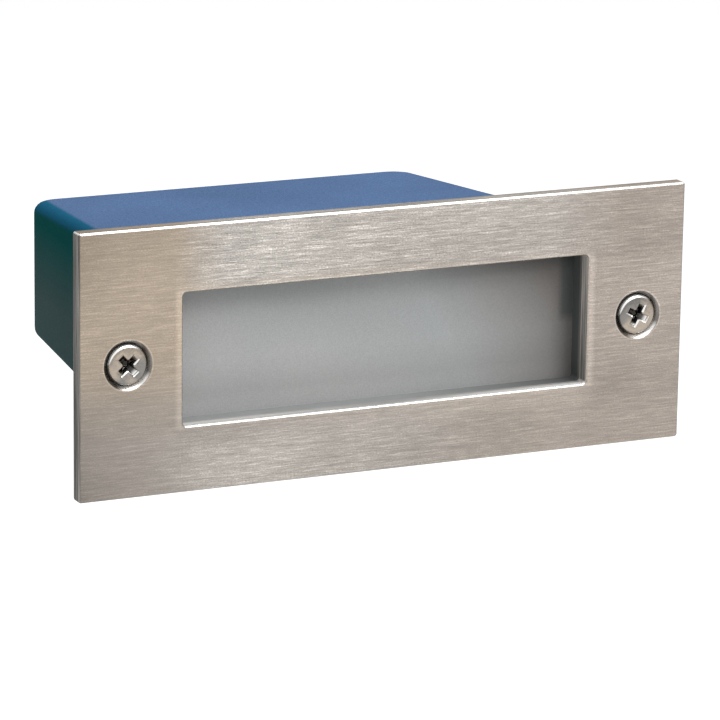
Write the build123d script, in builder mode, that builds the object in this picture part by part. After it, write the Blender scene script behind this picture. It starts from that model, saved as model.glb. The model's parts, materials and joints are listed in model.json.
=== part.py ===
from build123d import *

import os
from math import radians, sqrt, tan

# A recessed step light: a face plate with a window, a frosted glass set back behind it, and a
# deep tapered housing in the wall that holds the lamp, its reflector and the wiring.
# Millimetres. X runs to the right as seen from the front, Y into the wall and Z up.
# The origin is the centre of the face plate's back, which lies in the plane of the wall.

# ---------------------------------------------------------------- driving dimensions
# Face plate
plate_width = 170.0
plate_height = 69.0
plate_thickness = 4.0
plate_corner_radius = 1.2
plate_edge_round = 0.7
side_rail = 27.5
long_rail = 17.0
window_corner_radius = 2.2
window_edge_round = 1.0
plate_rim = 2.5
window_collar = 2.5
pocket_depth = 2.0

# Face screws, M5 with a low round head
screw_inset = 13.2
screw_radius = 2.45
screw_length = 16.0
screw_point = 0.8
head_radius = 5.3
head_edge = 1.3
head_dome = 0.6
head_edge_round = 0.35
cross_span = 5.5
cross_width = 1.1
cross_depth = 1.1
cross_core = 3.0
cross_core_depth = 2.0
left_cross_turn = 42.0
right_cross_turn = 62.0
head_recess_radius = 6.35
head_recess_depth = 1.8
seal_thickness = 0.4
retainer_thickness = 0.9
retainer_radius = 4.6
pad_radius = 8.0

# Glass and its gasket
glass_thickness = 3.0
glass_setback = 5.0
glass_grip = 2.2
gasket_lip = 2.0
gasket_shoulder = 4.2

# Housing
housing_depth = 107.0
mouth_side_rim = 3.0
mouth_top_rim = 2.5
housing_side_taper = 8.5
housing_top_taper = 6.0
housing_wall = 2.5
housing_back_corner = 8.0
housing_edge_radius = 3.0
cavity_edge_radius = 1.0
flange_end_cover = 7.0
flange_side_cover = 5.5
flange_thickness = 3.0
flange_corner = 4.0
boss_radius = 5.9
boss_depth = 15.5
boss_web = 2.0
ledge_width = 3.0
ledge_thickness = 2.0
insert_radius = 3.6
insert_length = 10.0
fixing_inset = 10.5
fixing_hole_radius = 2.25

# Lamp: a small tubular lamp with a 14 mm screw cap, lying along X
lamp_depth = 33.0
lamp_length = 85.0
bulb_radius = 12.5
bulb_wall = 0.8
bulb_neck_radius = 8.0
bulb_neck_length = 7.0
cap_radius = 7.0
cap_length = 20.0
cap_flare = 8.5
cap_flare_length = 2.0
tip_radius = 2.0
tip_length = 1.5
insulator_length = 1.8
insulator_radius = 3.0
insulator_base_radius = 6.5
stem_radius = 2.5
stem_length = 14.0
filament_radius = 0.9
filament_length = 34.0
filament_pitch = 7.0
filament_disc = 0.8

# Lamp holder
holder_radius = 13.0
holder_length = 27.8
holder_floor = 5.8
shell_wall = 0.6
shell_length = 21.0
contact_radius = 3.0
contact_thickness = 0.6
holder_screw_spacing = 16.0
holder_screw_length = 6.0
holder_chamfer = 1.2

# Reflector and bracket, both bent from sheet
reflector_sheet = 0.8
reflector_front = 13.5
reflector_back = 54.0
reflector_front_height = 35.0
reflector_back_height = 30.0
reflector_bend = 6.0
bracket_sheet = 1.2
bracket_gap = 1.1
bracket_height = 28.0
ear_height = 24.0
ear_front = 19.0
bracket_bend = 1.1
lug_reach = 8.0
lug_height = 12.0
lug_depth = 12.0
small_screw_radius = 1.45
small_head_radius = 2.7
small_head_height = 1.8
bracket_screw_inset = 4.5
bracket_screw_length = 8.0
slot_width = 0.8
slot_depth = 0.7

# Terminal block, three poles one above the other
terminal_width = 19.0
terminal_height = 28.0
terminal_depth = 18.0
terminal_pitch = 9.0
terminal_channel_depth = 10.0
clamp_radius = 2.5
clamp_length = 15.0
clamp_screw_spacing = 10.0
clamp_screw_radius = 1.5
clamp_screw_length = 4.6
block_screw_radius = 1.2
block_head_radius = 2.2
block_head_height = 1.6

# Wires, ring tag and grommets
wire_radius = 1.1
wire_bend_share = 0.45
wire_lead = 12.0
earth_wire_lead = 4.5
tag_wire_lead = 7.0
wire_hole_reach = 11.8
wire_hole_spacing = 10.0
grommet_radius = 4.0
grommet_waist = 2.9
grommet_flange = 0.8
tag_inset = 13.0
tag_drop = 7.0
tag_radius = 3.0
tag_thickness = 0.8
tag_barrel_length = 6.0
tag_barrel_wall = 0.5

# Cable gland and blanking plug, both for an M16 entry
entry_inset = 28.5
entry_radius = 7.9
entry_washer_thickness = 1.5
entry_washer_radius = 11.0
locknut_flats = 22.0
locknut_thickness = 4.0
entry_shank_length = 9.5
gland_flats = 22.0
gland_flange = 5.0
gland_barrel_radius = 8.2
gland_barrel_length = 6.5
gland_bore_radius = 5.0
gland_seal_radius = 6.2
gland_seal_length = 9.5
cable_radius = 3.5
gland_nut_wall = 2.0
gland_nut_end = 2.4
gland_nut_opening = 4.5
gland_nut_chamfer = 1.0
plug_head_radius = 10.5
plug_head_height = 3.0
coin_slot_width = 2.0
coin_slot_depth = 1.5
plug_chamfer = 0.75

# Clearances
running_clearance = 0.08
sliding_clearance = 0.3
screw_hole_clearance = 0.25
insert_clearance = 0.02

# ---------------------------------------------------------------- worked out from these
# Face plate, screws and what lies behind the window, from the front to the back
window_width = plate_width - 2 * side_rail
window_height = plate_height - 2 * long_rail
screw_x = plate_width / 2 - screw_inset
recess_floor = head_recess_depth - plate_thickness
head_back = recess_floor - seal_thickness
head_front = head_back - head_edge
screw_tip = head_back + screw_length
glass_back = glass_setback + glass_thickness
gasket_back = glass_back + gasket_lip
ledge_back = gasket_back + ledge_thickness
mouth_width = window_width + 2 * gasket_shoulder + 2 * sliding_clearance
mouth_height = window_height + 2 * gasket_shoulder + 2 * sliding_clearance
mouth_corner = window_corner_radius + gasket_shoulder / 2

# Housing, which narrows evenly from its mouth to its back
flange_width = plate_width - 2 * flange_end_cover
flange_height = plate_height - 2 * flange_side_cover
housing_front_width = mouth_width + 2 * mouth_side_rim
housing_front_height = mouth_height + 2 * mouth_top_rim
housing_back_width = housing_front_width - 2 * housing_side_taper
cavity_back = housing_depth - housing_wall
fixing_x = housing_back_width / 2 - fixing_inset
gland_x = housing_back_width / 2 - entry_inset
plug_x = -gland_x


def housing_width(depth):
    """Outside width of the tapered housing at a depth behind the wall's face."""
    return housing_front_width - 2 * housing_side_taper * depth / housing_depth


def housing_height(depth):
    """Outside height of the tapered housing at a depth behind the wall's face."""
    return housing_front_height - 2 * housing_top_taper * depth / housing_depth


# Bracket, which spans the housing, and what it carries
bracket_back = reflector_back + bracket_sheet
bracket_width = housing_width(bracket_back) - 2 * housing_wall - 2 * bracket_gap
reflector_width = bracket_width - 2 * bracket_sheet - 2 * sliding_clearance
bracket_screw_x = bracket_width / 2 - bracket_screw_inset
terminal_back = bracket_back + terminal_depth
channel_depth = bracket_back + terminal_channel_depth
tag_x = bracket_width / 2 - tag_inset
ear_x = -bracket_width / 2
holder_back = ear_x + bracket_sheet
wire_hole_x = holder_back + wire_hole_reach
holder_floor_x = holder_back + holder_floor
holder_front = holder_back + holder_length
contact_x = holder_floor_x + contact_thickness
lamp_tip_x = contact_x + running_clearance
insulator_x = lamp_tip_x + tip_length
cap_x = insulator_x + insulator_length
bulb_x = cap_x + cap_length
bulb_end_x = lamp_tip_x + lamp_length
shell_radius = cap_radius + running_clearance + shell_wall
lamp_axis = Axis((0, lamp_depth, 0), (1, 0, 0))
terminal_heights = [-terminal_pitch, 0, terminal_pitch]
wire_heights = [wire_hole_spacing / 2, -wire_hole_spacing / 2]
side_signs = [-1, 1]


def wall_plane(depth):
    """A plane parallel to the wall and that far behind it, with x to the right and y up."""
    return Plane.XZ.offset(-depth)


def bar(x, z, radius, front, back, mode=Mode.ADD):
    """A round bar square to the wall, or its hole, from one depth to another."""
    with BuildSketch(wall_plane(front)) as section:
        with Locations((x, z)):
            Circle(radius)
    extrude(section.sketch, amount=front - back, mode=mode)


def hex_bar(x, z, flats, front, back):
    """A six-sided bar square to the wall, from one depth to another."""
    with BuildSketch(wall_plane(front)) as section:
        with Locations((x, z)):
            RegularPolygon(flats / 2, 6, major_radius=False)
    extrude(section.sketch, amount=front - back)


def slab(width, height, corner, front, back, mode=Mode.ADD):
    """A rounded rectangle centred on the window, or its hole, from one depth to another."""
    with BuildSketch(wall_plane(front)) as section:
        RectangleRounded(width, height, corner)
    extrude(section.sketch, amount=front - back, mode=mode)


def turn_about_lamp(outline):
    """Turns a closed outline of (x, radius) points about the lamp's axis."""
    with BuildSketch(Plane.XY) as half:
        with BuildLine():
            Polyline([(x, lamp_depth + radius) for x, radius in outline], close=True)
        make_face()
    revolve(half.sketch, axis=lamp_axis)


def along_x(y, z, radius, start, end, mode=Mode.ADD):
    """A round bar along X at that depth and height, or its hole."""
    with BuildSketch(Plane.YZ.offset(start)) as section:
        with Locations((y, z)):
            Circle(radius)
    extrude(section.sketch, amount=end - start, mode=mode)


# ---------------------------------------------------------------- face plate
# A pocket in its back leaves a rim on the wall, a collar round the window and two screw pads.
with BuildPart() as face_plate:
    slab(plate_width, plate_height, plate_corner_radius, -plate_thickness, 0)
    fillet(face_plate.faces().sort_by(Axis.Y)[0].edges(), plate_edge_round)
    slab(window_width, window_height, window_corner_radius, -plate_thickness, 0, Mode.SUBTRACT)
    window_rim = face_plate.faces().sort_by(Axis.Y)[0].inner_wires()[0]
    fillet(window_rim.edges(), window_edge_round)
    with BuildSketch(wall_plane(-pocket_depth)):
        RectangleRounded(
            plate_width - 2 * plate_rim, plate_height - 2 * plate_rim, plate_corner_radius
        )
        RectangleRounded(
            window_width + 2 * window_collar,
            window_height + 2 * window_collar,
            window_corner_radius + window_collar,
            mode=Mode.SUBTRACT,
        )
        with Locations((-screw_x, 0), (screw_x, 0)):
            Circle(pad_radius, mode=Mode.SUBTRACT)
    extrude(amount=-pocket_depth, mode=Mode.SUBTRACT)
    for side in side_signs:
        bar(side * screw_x, 0, head_recess_radius, -plate_thickness, recess_floor, Mode.SUBTRACT)
        bar(side * screw_x, 0, screw_radius + sliding_clearance, recess_floor, 0, Mode.SUBTRACT)
        bar(
            side * screw_x,
            0,
            retainer_radius + sliding_clearance,
            -retainer_thickness,
            0,
            Mode.SUBTRACT,
        )

with BuildPart() as plate_gasket:
    with BuildSketch(wall_plane(-pocket_depth)):
        RectangleRounded(
            plate_width - 2 * plate_rim - 2 * sliding_clearance,
            plate_height - 2 * plate_rim - 2 * sliding_clearance,
            plate_corner_radius,
        )
        RectangleRounded(
            window_width + 2 * window_collar + 2 * sliding_clearance,
            window_height + 2 * window_collar + 2 * sliding_clearance,
            window_corner_radius + window_collar,
            mode=Mode.SUBTRACT,
        )
        with Locations((-screw_x, 0), (screw_x, 0)):
            Circle(pad_radius + sliding_clearance, mode=Mode.SUBTRACT)
    extrude(amount=-pocket_depth)


# ---------------------------------------------------------------- face screws
def face_screw(x, turn):
    """A captive screw with a low domed head and a cross recess turned by that many degrees."""
    with BuildPart() as screw:
        dome_radius = (head_radius**2 + head_dome**2) / (2 * head_dome)
        with BuildSketch(Plane.XY) as half_head:
            with BuildLine():
                Polyline((x, head_back), (x + head_radius, head_back), (x + head_radius, head_front))
                RadiusArc((x + head_radius, head_front), (x, head_front - head_dome), dome_radius)
                Line((x, head_front - head_dome), (x, head_back))
            make_face()
            head_rim = half_head.vertices().group_by(Axis.X)[-1].sort_by(Axis.Y)[0]
            fillet(head_rim, head_edge_round)
        revolve(half_head.sketch, axis=Axis((x, 0, 0), (0, 1, 0)))
        bar(x, 0, screw_radius, head_back, screw_tip)
        chamfer(screw.faces().sort_by(Axis.Y)[-1].edges(), screw_point)
        for span, depth in ((cross_span, cross_depth), (cross_core, cross_core_depth)):
            with BuildSketch(wall_plane(head_front - head_dome)) as cross:
                with Locations((x, 0)):
                    SlotOverall(span, cross_width, rotation=turn)
                    SlotOverall(span, cross_width, rotation=turn + 90)
            extrude(cross.sketch, amount=-head_dome - depth, mode=Mode.SUBTRACT)
    return screw


face_screw_left = face_screw(-screw_x, left_cross_turn)
face_screw_right = face_screw(screw_x, right_cross_turn)

with BuildPart() as screw_seals:
    for side in side_signs:
        bar(side * screw_x, 0, head_radius - screw_hole_clearance, head_back, recess_floor)
        bar(
            side * screw_x,
            0,
            screw_radius + running_clearance,
            head_back,
            recess_floor,
            Mode.SUBTRACT,
        )

with BuildPart() as screw_retainers:
    for side in side_signs:
        bar(side * screw_x, 0, retainer_radius, -retainer_thickness, 0)
        bar(
            side * screw_x,
            0,
            screw_radius + running_clearance,
            -retainer_thickness,
            0,
            Mode.SUBTRACT,
        )

# ---------------------------------------------------------------- glass and its gasket
glass_width = window_width + 2 * glass_grip
glass_height = window_height + 2 * glass_grip
with BuildPart() as diffuser_glass:
    slab(glass_width, glass_height, window_corner_radius, glass_setback, glass_back)

with BuildPart() as glass_gasket:
    slab(
        window_width + 2 * gasket_shoulder,
        window_height + 2 * gasket_shoulder,
        mouth_corner - sliding_clearance,
        0,
        gasket_back,
    )
    slab(
        window_width + sliding_clearance,
        window_height + sliding_clearance,
        window_corner_radius,
        0,
        glass_setback,
        Mode.SUBTRACT,
    )
    slab(
        glass_width + 2 * running_clearance,
        glass_height + 2 * running_clearance,
        window_corner_radius + running_clearance,
        glass_setback,
        glass_back,
        Mode.SUBTRACT,
    )
    slab(
        window_width - gasket_lip,
        window_height - gasket_lip,
        window_corner_radius,
        glass_back,
        gasket_back,
        Mode.SUBTRACT,
    )


# ---------------------------------------------------------------- recess housing
def tapered_block(front, back, wall, corner, edge):
    """The housing's outside form, or with a wall taken off its cavity, with rounded edges."""
    with BuildPart() as block:
        for depth in (front, back):
            with BuildSketch(wall_plane(depth)):
                Rectangle(housing_width(depth) - 2 * wall, housing_height(depth) - 2 * wall)
        loft()
        fillet(block.faces().sort_by(Axis.Y)[-1].edges().filter_by(Axis.Z), corner)
        fillet(block.faces().sort_by(Axis.Z)[-1].edges().sort_by(Axis.Y)[1:], edge)
        fillet(block.faces().sort_by(Axis.Z)[0].edges().sort_by(Axis.Y)[1:], edge)
    return block.part


housing_form = tapered_block(0, housing_depth, 0, housing_back_corner, housing_edge_radius)
cavity_form = tapered_block(
    ledge_back, cavity_back, housing_wall, housing_back_corner - housing_wall, cavity_edge_radius
)
lug_back = bracket_back + lug_depth
lug_outside = housing_width(lug_back) / 2 - housing_wall / 2
lug_inside = bracket_width / 2 - lug_reach
insert_back = flange_thickness / 2 + insert_length
web_outside = screw_x
web_inside = housing_width(boss_depth) / 2 - housing_wall / 2

with BuildPart() as recess_housing:
    add(housing_form)
    slab(flange_width, flange_height, flange_corner, 0, flange_thickness)
    for side in side_signs:
        bar(side * screw_x, 0, boss_radius, 0, boss_depth)
        with Locations((side * (web_outside + web_inside) / 2, boss_depth / 2, 0)):
            Box(web_outside - web_inside, boss_depth, boss_web)
    add(cavity_form, mode=Mode.SUBTRACT)
    slab(mouth_width, mouth_height, mouth_corner, 0, gasket_back, Mode.SUBTRACT)
    slab(
        mouth_width - 2 * ledge_width,
        mouth_height - 2 * ledge_width,
        window_corner_radius,
        gasket_back,
        ledge_back,
        Mode.SUBTRACT,
    )
    for side in side_signs:
        with Locations((side * (lug_outside + lug_inside) / 2, (bracket_back + lug_back) / 2, 0)):
            Box(lug_outside - lug_inside, lug_depth, lug_height)
        bar(
            side * bracket_screw_x,
            0,
            small_screw_radius + running_clearance,
            bracket_back,
            reflector_back + bracket_screw_length,
            Mode.SUBTRACT,
        )
        bar(side * screw_x, 0, insert_radius + insert_clearance, 0, insert_back, Mode.SUBTRACT)
        bar(
            side * screw_x,
            0,
            screw_radius + screw_hole_clearance,
            0,
            screw_tip + sliding_clearance,
            Mode.SUBTRACT,
        )
        bar(
            side * fixing_x,
            0,
            fixing_hole_radius,
            cavity_back,
            housing_depth,
            Mode.SUBTRACT,
        )
    for entry_x in (gland_x, plug_x):
        bar(
            entry_x,
            0,
            entry_radius + screw_hole_clearance,
            cavity_back,
            housing_depth,
            Mode.SUBTRACT,
        )

with BuildPart() as brass_inserts:
    for side in side_signs:
        bar(side * screw_x, 0, insert_radius, flange_thickness / 2, insert_back)
        bar(
            side * screw_x,
            0,
            screw_radius + running_clearance,
            flange_thickness / 2,
            insert_back,
            Mode.SUBTRACT,
        )


# ---------------------------------------------------------------- reflector and bracket
def trough(inset, front, mode=Mode.ADD):
    """The reflector's solid form along X, or with the sheet taken off its hollow."""
    with BuildSketch(Plane.YZ.offset(-reflector_width / 2)) as profile:
        with BuildLine():
            Polyline(
                (front, reflector_front_height / 2 - inset),
                (reflector_back - inset, reflector_back_height / 2 - inset),
                (reflector_back - inset, inset - reflector_back_height / 2),
                (front, inset - reflector_front_height / 2),
                close=True,
            )
        make_face()
        fillet(profile.vertices().group_by(Axis.X)[-1], reflector_bend - inset)
    extrude(profile.sketch, amount=reflector_width, mode=mode)


with BuildPart() as reflector:
    trough(0, reflector_front)
    trough(reflector_sheet, reflector_front, Mode.SUBTRACT)
    reflector_inside = reflector_back - reflector_sheet
    for side in side_signs:
        bar(
            side * bracket_screw_x,
            0,
            small_screw_radius + screw_hole_clearance,
            reflector_inside,
            reflector_back,
            Mode.SUBTRACT,
        )
    for height in wire_heights:
        bar(
            wire_hole_x,
            height,
            grommet_waist + running_clearance,
            reflector_inside,
            reflector_back,
            Mode.SUBTRACT,
        )

with BuildPart() as lamp_bracket:
    with Locations((0, (reflector_back + bracket_back) / 2, 0)):
        Box(bracket_width, bracket_sheet, bracket_height)
    with Locations((ear_x + bracket_sheet / 2, (ear_front + bracket_back) / 2, 0)):
        Box(bracket_sheet, bracket_back - ear_front, ear_height)
    fillet(
        lamp_bracket.edges().filter_by(Axis.Z).group_by(Axis.X)[0].sort_by(Axis.Y)[-1:],
        bracket_bend,
    )
    for side in side_signs:
        bar(
            side * bracket_screw_x,
            0,
            small_screw_radius + screw_hole_clearance,
            reflector_back,
            bracket_back,
            Mode.SUBTRACT,
        )
        bar(
            0,
            side * terminal_pitch / 2,
            block_screw_radius + running_clearance,
            reflector_back,
            bracket_back,
            Mode.SUBTRACT,
        )
        along_x(
            lamp_depth + side * holder_screw_spacing / 2,
            0,
            small_screw_radius + screw_hole_clearance,
            ear_x,
            holder_back,
            Mode.SUBTRACT,
        )
    for height in wire_heights:
        bar(
            wire_hole_x,
            height,
            grommet_waist + running_clearance,
            reflector_back,
            bracket_back,
            Mode.SUBTRACT,
        )
    bar(
        tag_x,
        -tag_drop,
        block_screw_radius + running_clearance,
        reflector_back,
        bracket_back,
        Mode.SUBTRACT,
    )

with BuildPart() as bracket_screws:
    for side in side_signs:
        screw_position = side * bracket_screw_x
        head_top = reflector_inside - small_head_height
        bar(screw_position, 0, small_head_radius, head_top, reflector_inside)
        bar(
            screw_position,
            0,
            small_screw_radius,
            reflector_inside,
            reflector_inside + bracket_screw_length,
        )
        with Locations((screw_position, head_top + slot_depth / 2, 0)):
            Box(2 * small_head_radius, slot_depth, slot_width, mode=Mode.SUBTRACT)

# ---------------------------------------------------------------- lamp holder
wire_root = lamp_depth + (holder_radius + shell_radius) / 2
with BuildPart() as lamp_holder_body:
    along_x(lamp_depth, 0, holder_radius, holder_back, holder_front)
    chamfer(lamp_holder_body.faces().sort_by(Axis.X)[-1].edges(), holder_chamfer)
    along_x(
        lamp_depth, 0, shell_radius + sliding_clearance, holder_floor_x, holder_front, Mode.SUBTRACT
    )
    for side in side_signs:
        along_x(
            lamp_depth + side * holder_screw_spacing / 2,
            0,
            small_screw_radius + running_clearance,
            holder_back,
            ear_x + holder_screw_length,
            Mode.SUBTRACT,
        )
    for height in wire_heights:
        bar(
            wire_hole_x,
            height,
            wire_radius + running_clearance,
            wire_root,
            lamp_depth + holder_radius,
            Mode.SUBTRACT,
        )

with BuildPart() as lamp_holder_shell:
    along_x(lamp_depth, 0, shell_radius, holder_floor_x, holder_floor_x + shell_length)
    along_x(
        lamp_depth,
        0,
        cap_radius + running_clearance,
        holder_floor_x,
        holder_floor_x + shell_length,
        Mode.SUBTRACT,
    )

with BuildPart() as lamp_holder_contact:
    along_x(lamp_depth, 0, contact_radius, holder_floor_x, contact_x)

with BuildPart() as lamp_holder_screws:
    for side in side_signs:
        screw_depth = lamp_depth + side * holder_screw_spacing / 2
        head_x = ear_x - small_head_height
        along_x(screw_depth, 0, small_head_radius, head_x, ear_x)
        along_x(screw_depth, 0, small_screw_radius, ear_x, ear_x + holder_screw_length)
        with Locations((head_x + slot_depth / 2, screw_depth, 0)):
            Box(slot_depth, 2 * small_head_radius, slot_width, mode=Mode.SUBTRACT)

# ---------------------------------------------------------------- lamp
with BuildPart() as lamp_contact:
    along_x(lamp_depth, 0, tip_radius, lamp_tip_x, insulator_x)

with BuildPart() as lamp_insulator:
    turn_about_lamp(
        [
            (insulator_x, 0),
            (insulator_x, insulator_radius),
            (cap_x, insulator_base_radius),
            (cap_x, 0),
        ]
    )

with BuildPart() as lamp_cap:
    turn_about_lamp(
        [
            (cap_x, 0),
            (cap_x, cap_radius),
            (bulb_x - cap_flare_length, cap_radius),
            (bulb_x, cap_flare),
            (bulb_x, 0),
        ]
    )


def bulb_solid(inset, mode=Mode.ADD):
    """The bulb's solid form, or with the glass taken off its hollow."""
    shoulder_x = bulb_x + bulb_neck_length
    dome_x = bulb_end_x - bulb_radius
    radius = bulb_radius - inset
    with BuildSketch(Plane.XY) as half:
        with BuildLine():
            Line((bulb_x, lamp_depth), (bulb_x, lamp_depth + bulb_neck_radius - inset))
            Line(
                (bulb_x, lamp_depth + bulb_neck_radius - inset),
                (shoulder_x, lamp_depth + radius),
            )
            Line((shoulder_x, lamp_depth + radius), (dome_x, lamp_depth + radius))
            ThreePointArc(
                (dome_x, lamp_depth + radius),
                (dome_x + radius / sqrt(2), lamp_depth + radius / sqrt(2)),
                (dome_x + radius, lamp_depth),
            )
            Line((dome_x + radius, lamp_depth), (bulb_x, lamp_depth))
        make_face()
    revolve(half.sketch, axis=lamp_axis, mode=mode)


with BuildPart() as lamp_bulb:
    bulb_solid(0)
    bulb_solid(bulb_wall, Mode.SUBTRACT)

with BuildPart() as lamp_filament:
    stem_end = bulb_x + stem_length
    disc_radius = filament_pitch / 2 + 2 * filament_radius
    along_x(lamp_depth, 0, stem_radius, bulb_x, stem_end)
    along_x(lamp_depth, 0, disc_radius, stem_end, stem_end + filament_disc)
    along_x(
        lamp_depth,
        0,
        disc_radius,
        stem_end + filament_length,
        stem_end + filament_length + filament_disc,
    )
    for side in side_signs:
        for across, up in ((side * filament_pitch / 2, 0), (0, side * filament_pitch / 2)):
            along_x(
                lamp_depth + across, up, filament_radius, stem_end, stem_end + filament_length
            )

# ---------------------------------------------------------------- terminal block
with BuildPart() as terminal_block:
    with Locations((0, (bracket_back + terminal_back) / 2, 0)):
        Box(terminal_width, terminal_depth, terminal_height)
    for height in terminal_heights:
        along_x(
            channel_depth,
            height,
            clamp_radius + running_clearance,
            -terminal_width / 2,
            terminal_width / 2,
            Mode.SUBTRACT,
        )
        for side in side_signs:
            bar(
                side * clamp_screw_spacing / 2,
                height,
                clamp_screw_radius + screw_hole_clearance,
                channel_depth,
                terminal_back,
                Mode.SUBTRACT,
            )
    for side in side_signs:
        bar(
            0,
            side * terminal_pitch / 2,
            block_screw_radius + running_clearance,
            bracket_back,
            terminal_back,
            Mode.SUBTRACT,
        )
        bar(
            0,
            side * terminal_pitch / 2,
            block_head_radius + running_clearance,
            terminal_back - block_head_height,
            terminal_back,
            Mode.SUBTRACT,
        )

with BuildPart() as terminal_clamps:
    for height in terminal_heights:
        along_x(channel_depth, height, clamp_radius, -clamp_length / 2, clamp_length / 2)
        along_x(
            channel_depth,
            height,
            wire_radius + sliding_clearance,
            -clamp_length / 2,
            clamp_length / 2,
            Mode.SUBTRACT,
        )
        for side in side_signs:
            bar(
                side * clamp_screw_spacing / 2,
                height,
                clamp_screw_radius + running_clearance,
                channel_depth,
                channel_depth + clamp_radius,
                Mode.SUBTRACT,
            )

clamp_screw_tip = channel_depth + wire_radius + running_clearance
with BuildPart() as clamp_screws:
    for height in terminal_heights:
        for side in side_signs:
            clamp_screw_x = side * clamp_screw_spacing / 2
            clamp_screw_end = clamp_screw_tip + clamp_screw_length
            bar(clamp_screw_x, height, clamp_screw_radius, clamp_screw_tip, clamp_screw_end)
            with Locations((clamp_screw_x, clamp_screw_end - slot_depth / 2, height)):
                Box(2 * clamp_screw_radius, slot_depth, slot_width, mode=Mode.SUBTRACT)

with BuildPart() as block_screws:
    for side in side_signs:
        height = side * terminal_pitch / 2
        head_depth = terminal_back - block_head_height
        bar(0, height, block_screw_radius, reflector_back + running_clearance, head_depth)
        bar(0, height, block_head_radius, head_depth, terminal_back)
        with Locations((0, terminal_back - slot_depth / 2, height)):
            Box(2 * block_head_radius, slot_depth, slot_width, mode=Mode.SUBTRACT)


# ---------------------------------------------------------------- wires
def wire(name, route):
    """A round wire along straight runs joined by arcs as large as the shorter run allows."""
    points = [Vector(*point) for point in route]
    runs = [b - a for a, b in zip(points, points[1:])]
    radii = []
    for before, after in zip(runs, runs[1:]):
        half_turn = before.get_angle(after) / 2
        shorter = min(before.length, after.length)
        radii.append(wire_bend_share * shorter / tan(radians(half_turn)))
    print(name, "bend radii", [round(radius, 1) for radius in radii])
    with BuildPart() as solid:
        with BuildLine() as path:
            FilletPolyline(*points, radius=radii)
        with BuildSketch(Plane(origin=points[0], z_dir=runs[0])):
            Circle(wire_radius)
        sweep()
    length = path.wire().length
    print(name, "length", round(length, 1), "volume", round(solid.part.volume, 1))
    return solid


clamp_stop = clamp_length / 2 - clamp_screw_spacing / 2
lead_in = terminal_width / 2 + wire_lead


def lamp_wire(name, side):
    """A wire from the lamp holder, back through its grommet and across to its clamp."""
    height = side * wire_hole_spacing / 2
    return wire(
        name,
        [
            (wire_hole_x, wire_root, height),
            (wire_hole_x, channel_depth, height),
            (-lead_in, channel_depth, side * terminal_pitch),
            (-clamp_stop, channel_depth, side * terminal_pitch),
        ],
    )


live_wire = lamp_wire("live_wire", 1)
neutral_wire = lamp_wire("neutral_wire", -1)

tag_top = bracket_back + tag_thickness
barrel_radius = wire_radius + tag_barrel_wall
barrel_depth = bracket_back + tag_thickness + wire_radius
barrel_end = tag_x - tag_radius
barrel_start = barrel_end - tag_barrel_length
earth_wire = wire(
    "earth_wire",
    [
        (clamp_stop, channel_depth, 0),
        (terminal_width / 2 + earth_wire_lead, channel_depth, 0),
        (barrel_start - tag_wire_lead, barrel_depth, -tag_drop),
        (barrel_end - tag_barrel_wall, barrel_depth, -tag_drop),
    ],
)

with BuildPart() as earth_tag:
    bar(tag_x, -tag_drop, tag_radius, bracket_back, tag_top)
    tongue_length = tag_x - barrel_start
    with Locations((tag_x - tongue_length / 2, (bracket_back + tag_top) / 2, -tag_drop)):
        Box(tongue_length, tag_thickness, 2 * wire_radius)
    along_x(barrel_depth, -tag_drop, barrel_radius, barrel_start, barrel_end)
    along_x(
        barrel_depth,
        -tag_drop,
        wire_radius + running_clearance,
        barrel_start,
        barrel_end,
        Mode.SUBTRACT,
    )
    bar(
        tag_x,
        -tag_drop,
        block_screw_radius + running_clearance,
        bracket_back,
        tag_top,
        Mode.SUBTRACT,
    )

with BuildPart() as earth_screw:
    bar(tag_x, -tag_drop, block_screw_radius, reflector_back + running_clearance, tag_top)
    bar(tag_x, -tag_drop, block_head_radius, tag_top, tag_top + block_head_height)
    with Locations((tag_x, tag_top + block_head_height - slot_depth / 2, -tag_drop)):
        Box(2 * block_head_radius, slot_depth, slot_width, mode=Mode.SUBTRACT)

with BuildPart() as wire_grommets:
    for height in wire_heights:
        grommet_front = reflector_inside - grommet_flange
        grommet_back = bracket_back + grommet_flange
        bar(wire_hole_x, height, grommet_radius, grommet_front, reflector_inside)
        bar(wire_hole_x, height, grommet_waist, reflector_inside, bracket_back)
        bar(wire_hole_x, height, grommet_radius, bracket_back, grommet_back)
        bar(
            wire_hole_x,
            height,
            wire_radius + sliding_clearance,
            grommet_front,
            grommet_back,
            Mode.SUBTRACT,
        )

# ---------------------------------------------------------------- cable entries
washer_back = housing_depth + entry_washer_thickness
shank_front = cavity_back - entry_shank_length
flange_back = washer_back + gland_flange
barrel_back = flange_back + gland_barrel_length
seal_front = barrel_back + sliding_clearance - gland_seal_length
seal_back = barrel_back + sliding_clearance
nut_front = flange_back + sliding_clearance
nut_floor = seal_back + running_clearance
nut_back = nut_floor + gland_nut_end


def entry_washer(x):
    """The flat seal between the housing's back and an entry fitting."""
    with BuildPart() as washer:
        bar(x, 0, entry_washer_radius, housing_depth, washer_back)
        bar(
            x,
            0,
            entry_radius + screw_hole_clearance,
            housing_depth,
            washer_back,
            Mode.SUBTRACT,
        )
    return washer


def entry_locknut(x):
    """The nut that clamps an entry fitting from inside the housing."""
    with BuildPart() as locknut:
        hex_bar(x, 0, locknut_flats, cavity_back - locknut_thickness, cavity_back)
        bar(
            x,
            0,
            entry_radius + running_clearance,
            cavity_back - locknut_thickness,
            cavity_back,
            Mode.SUBTRACT,
        )
    return locknut


gland_washer = entry_washer(gland_x)
gland_locknut = entry_locknut(gland_x)
blanking_plug_washer = entry_washer(plug_x)
blanking_plug_locknut = entry_locknut(plug_x)

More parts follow.
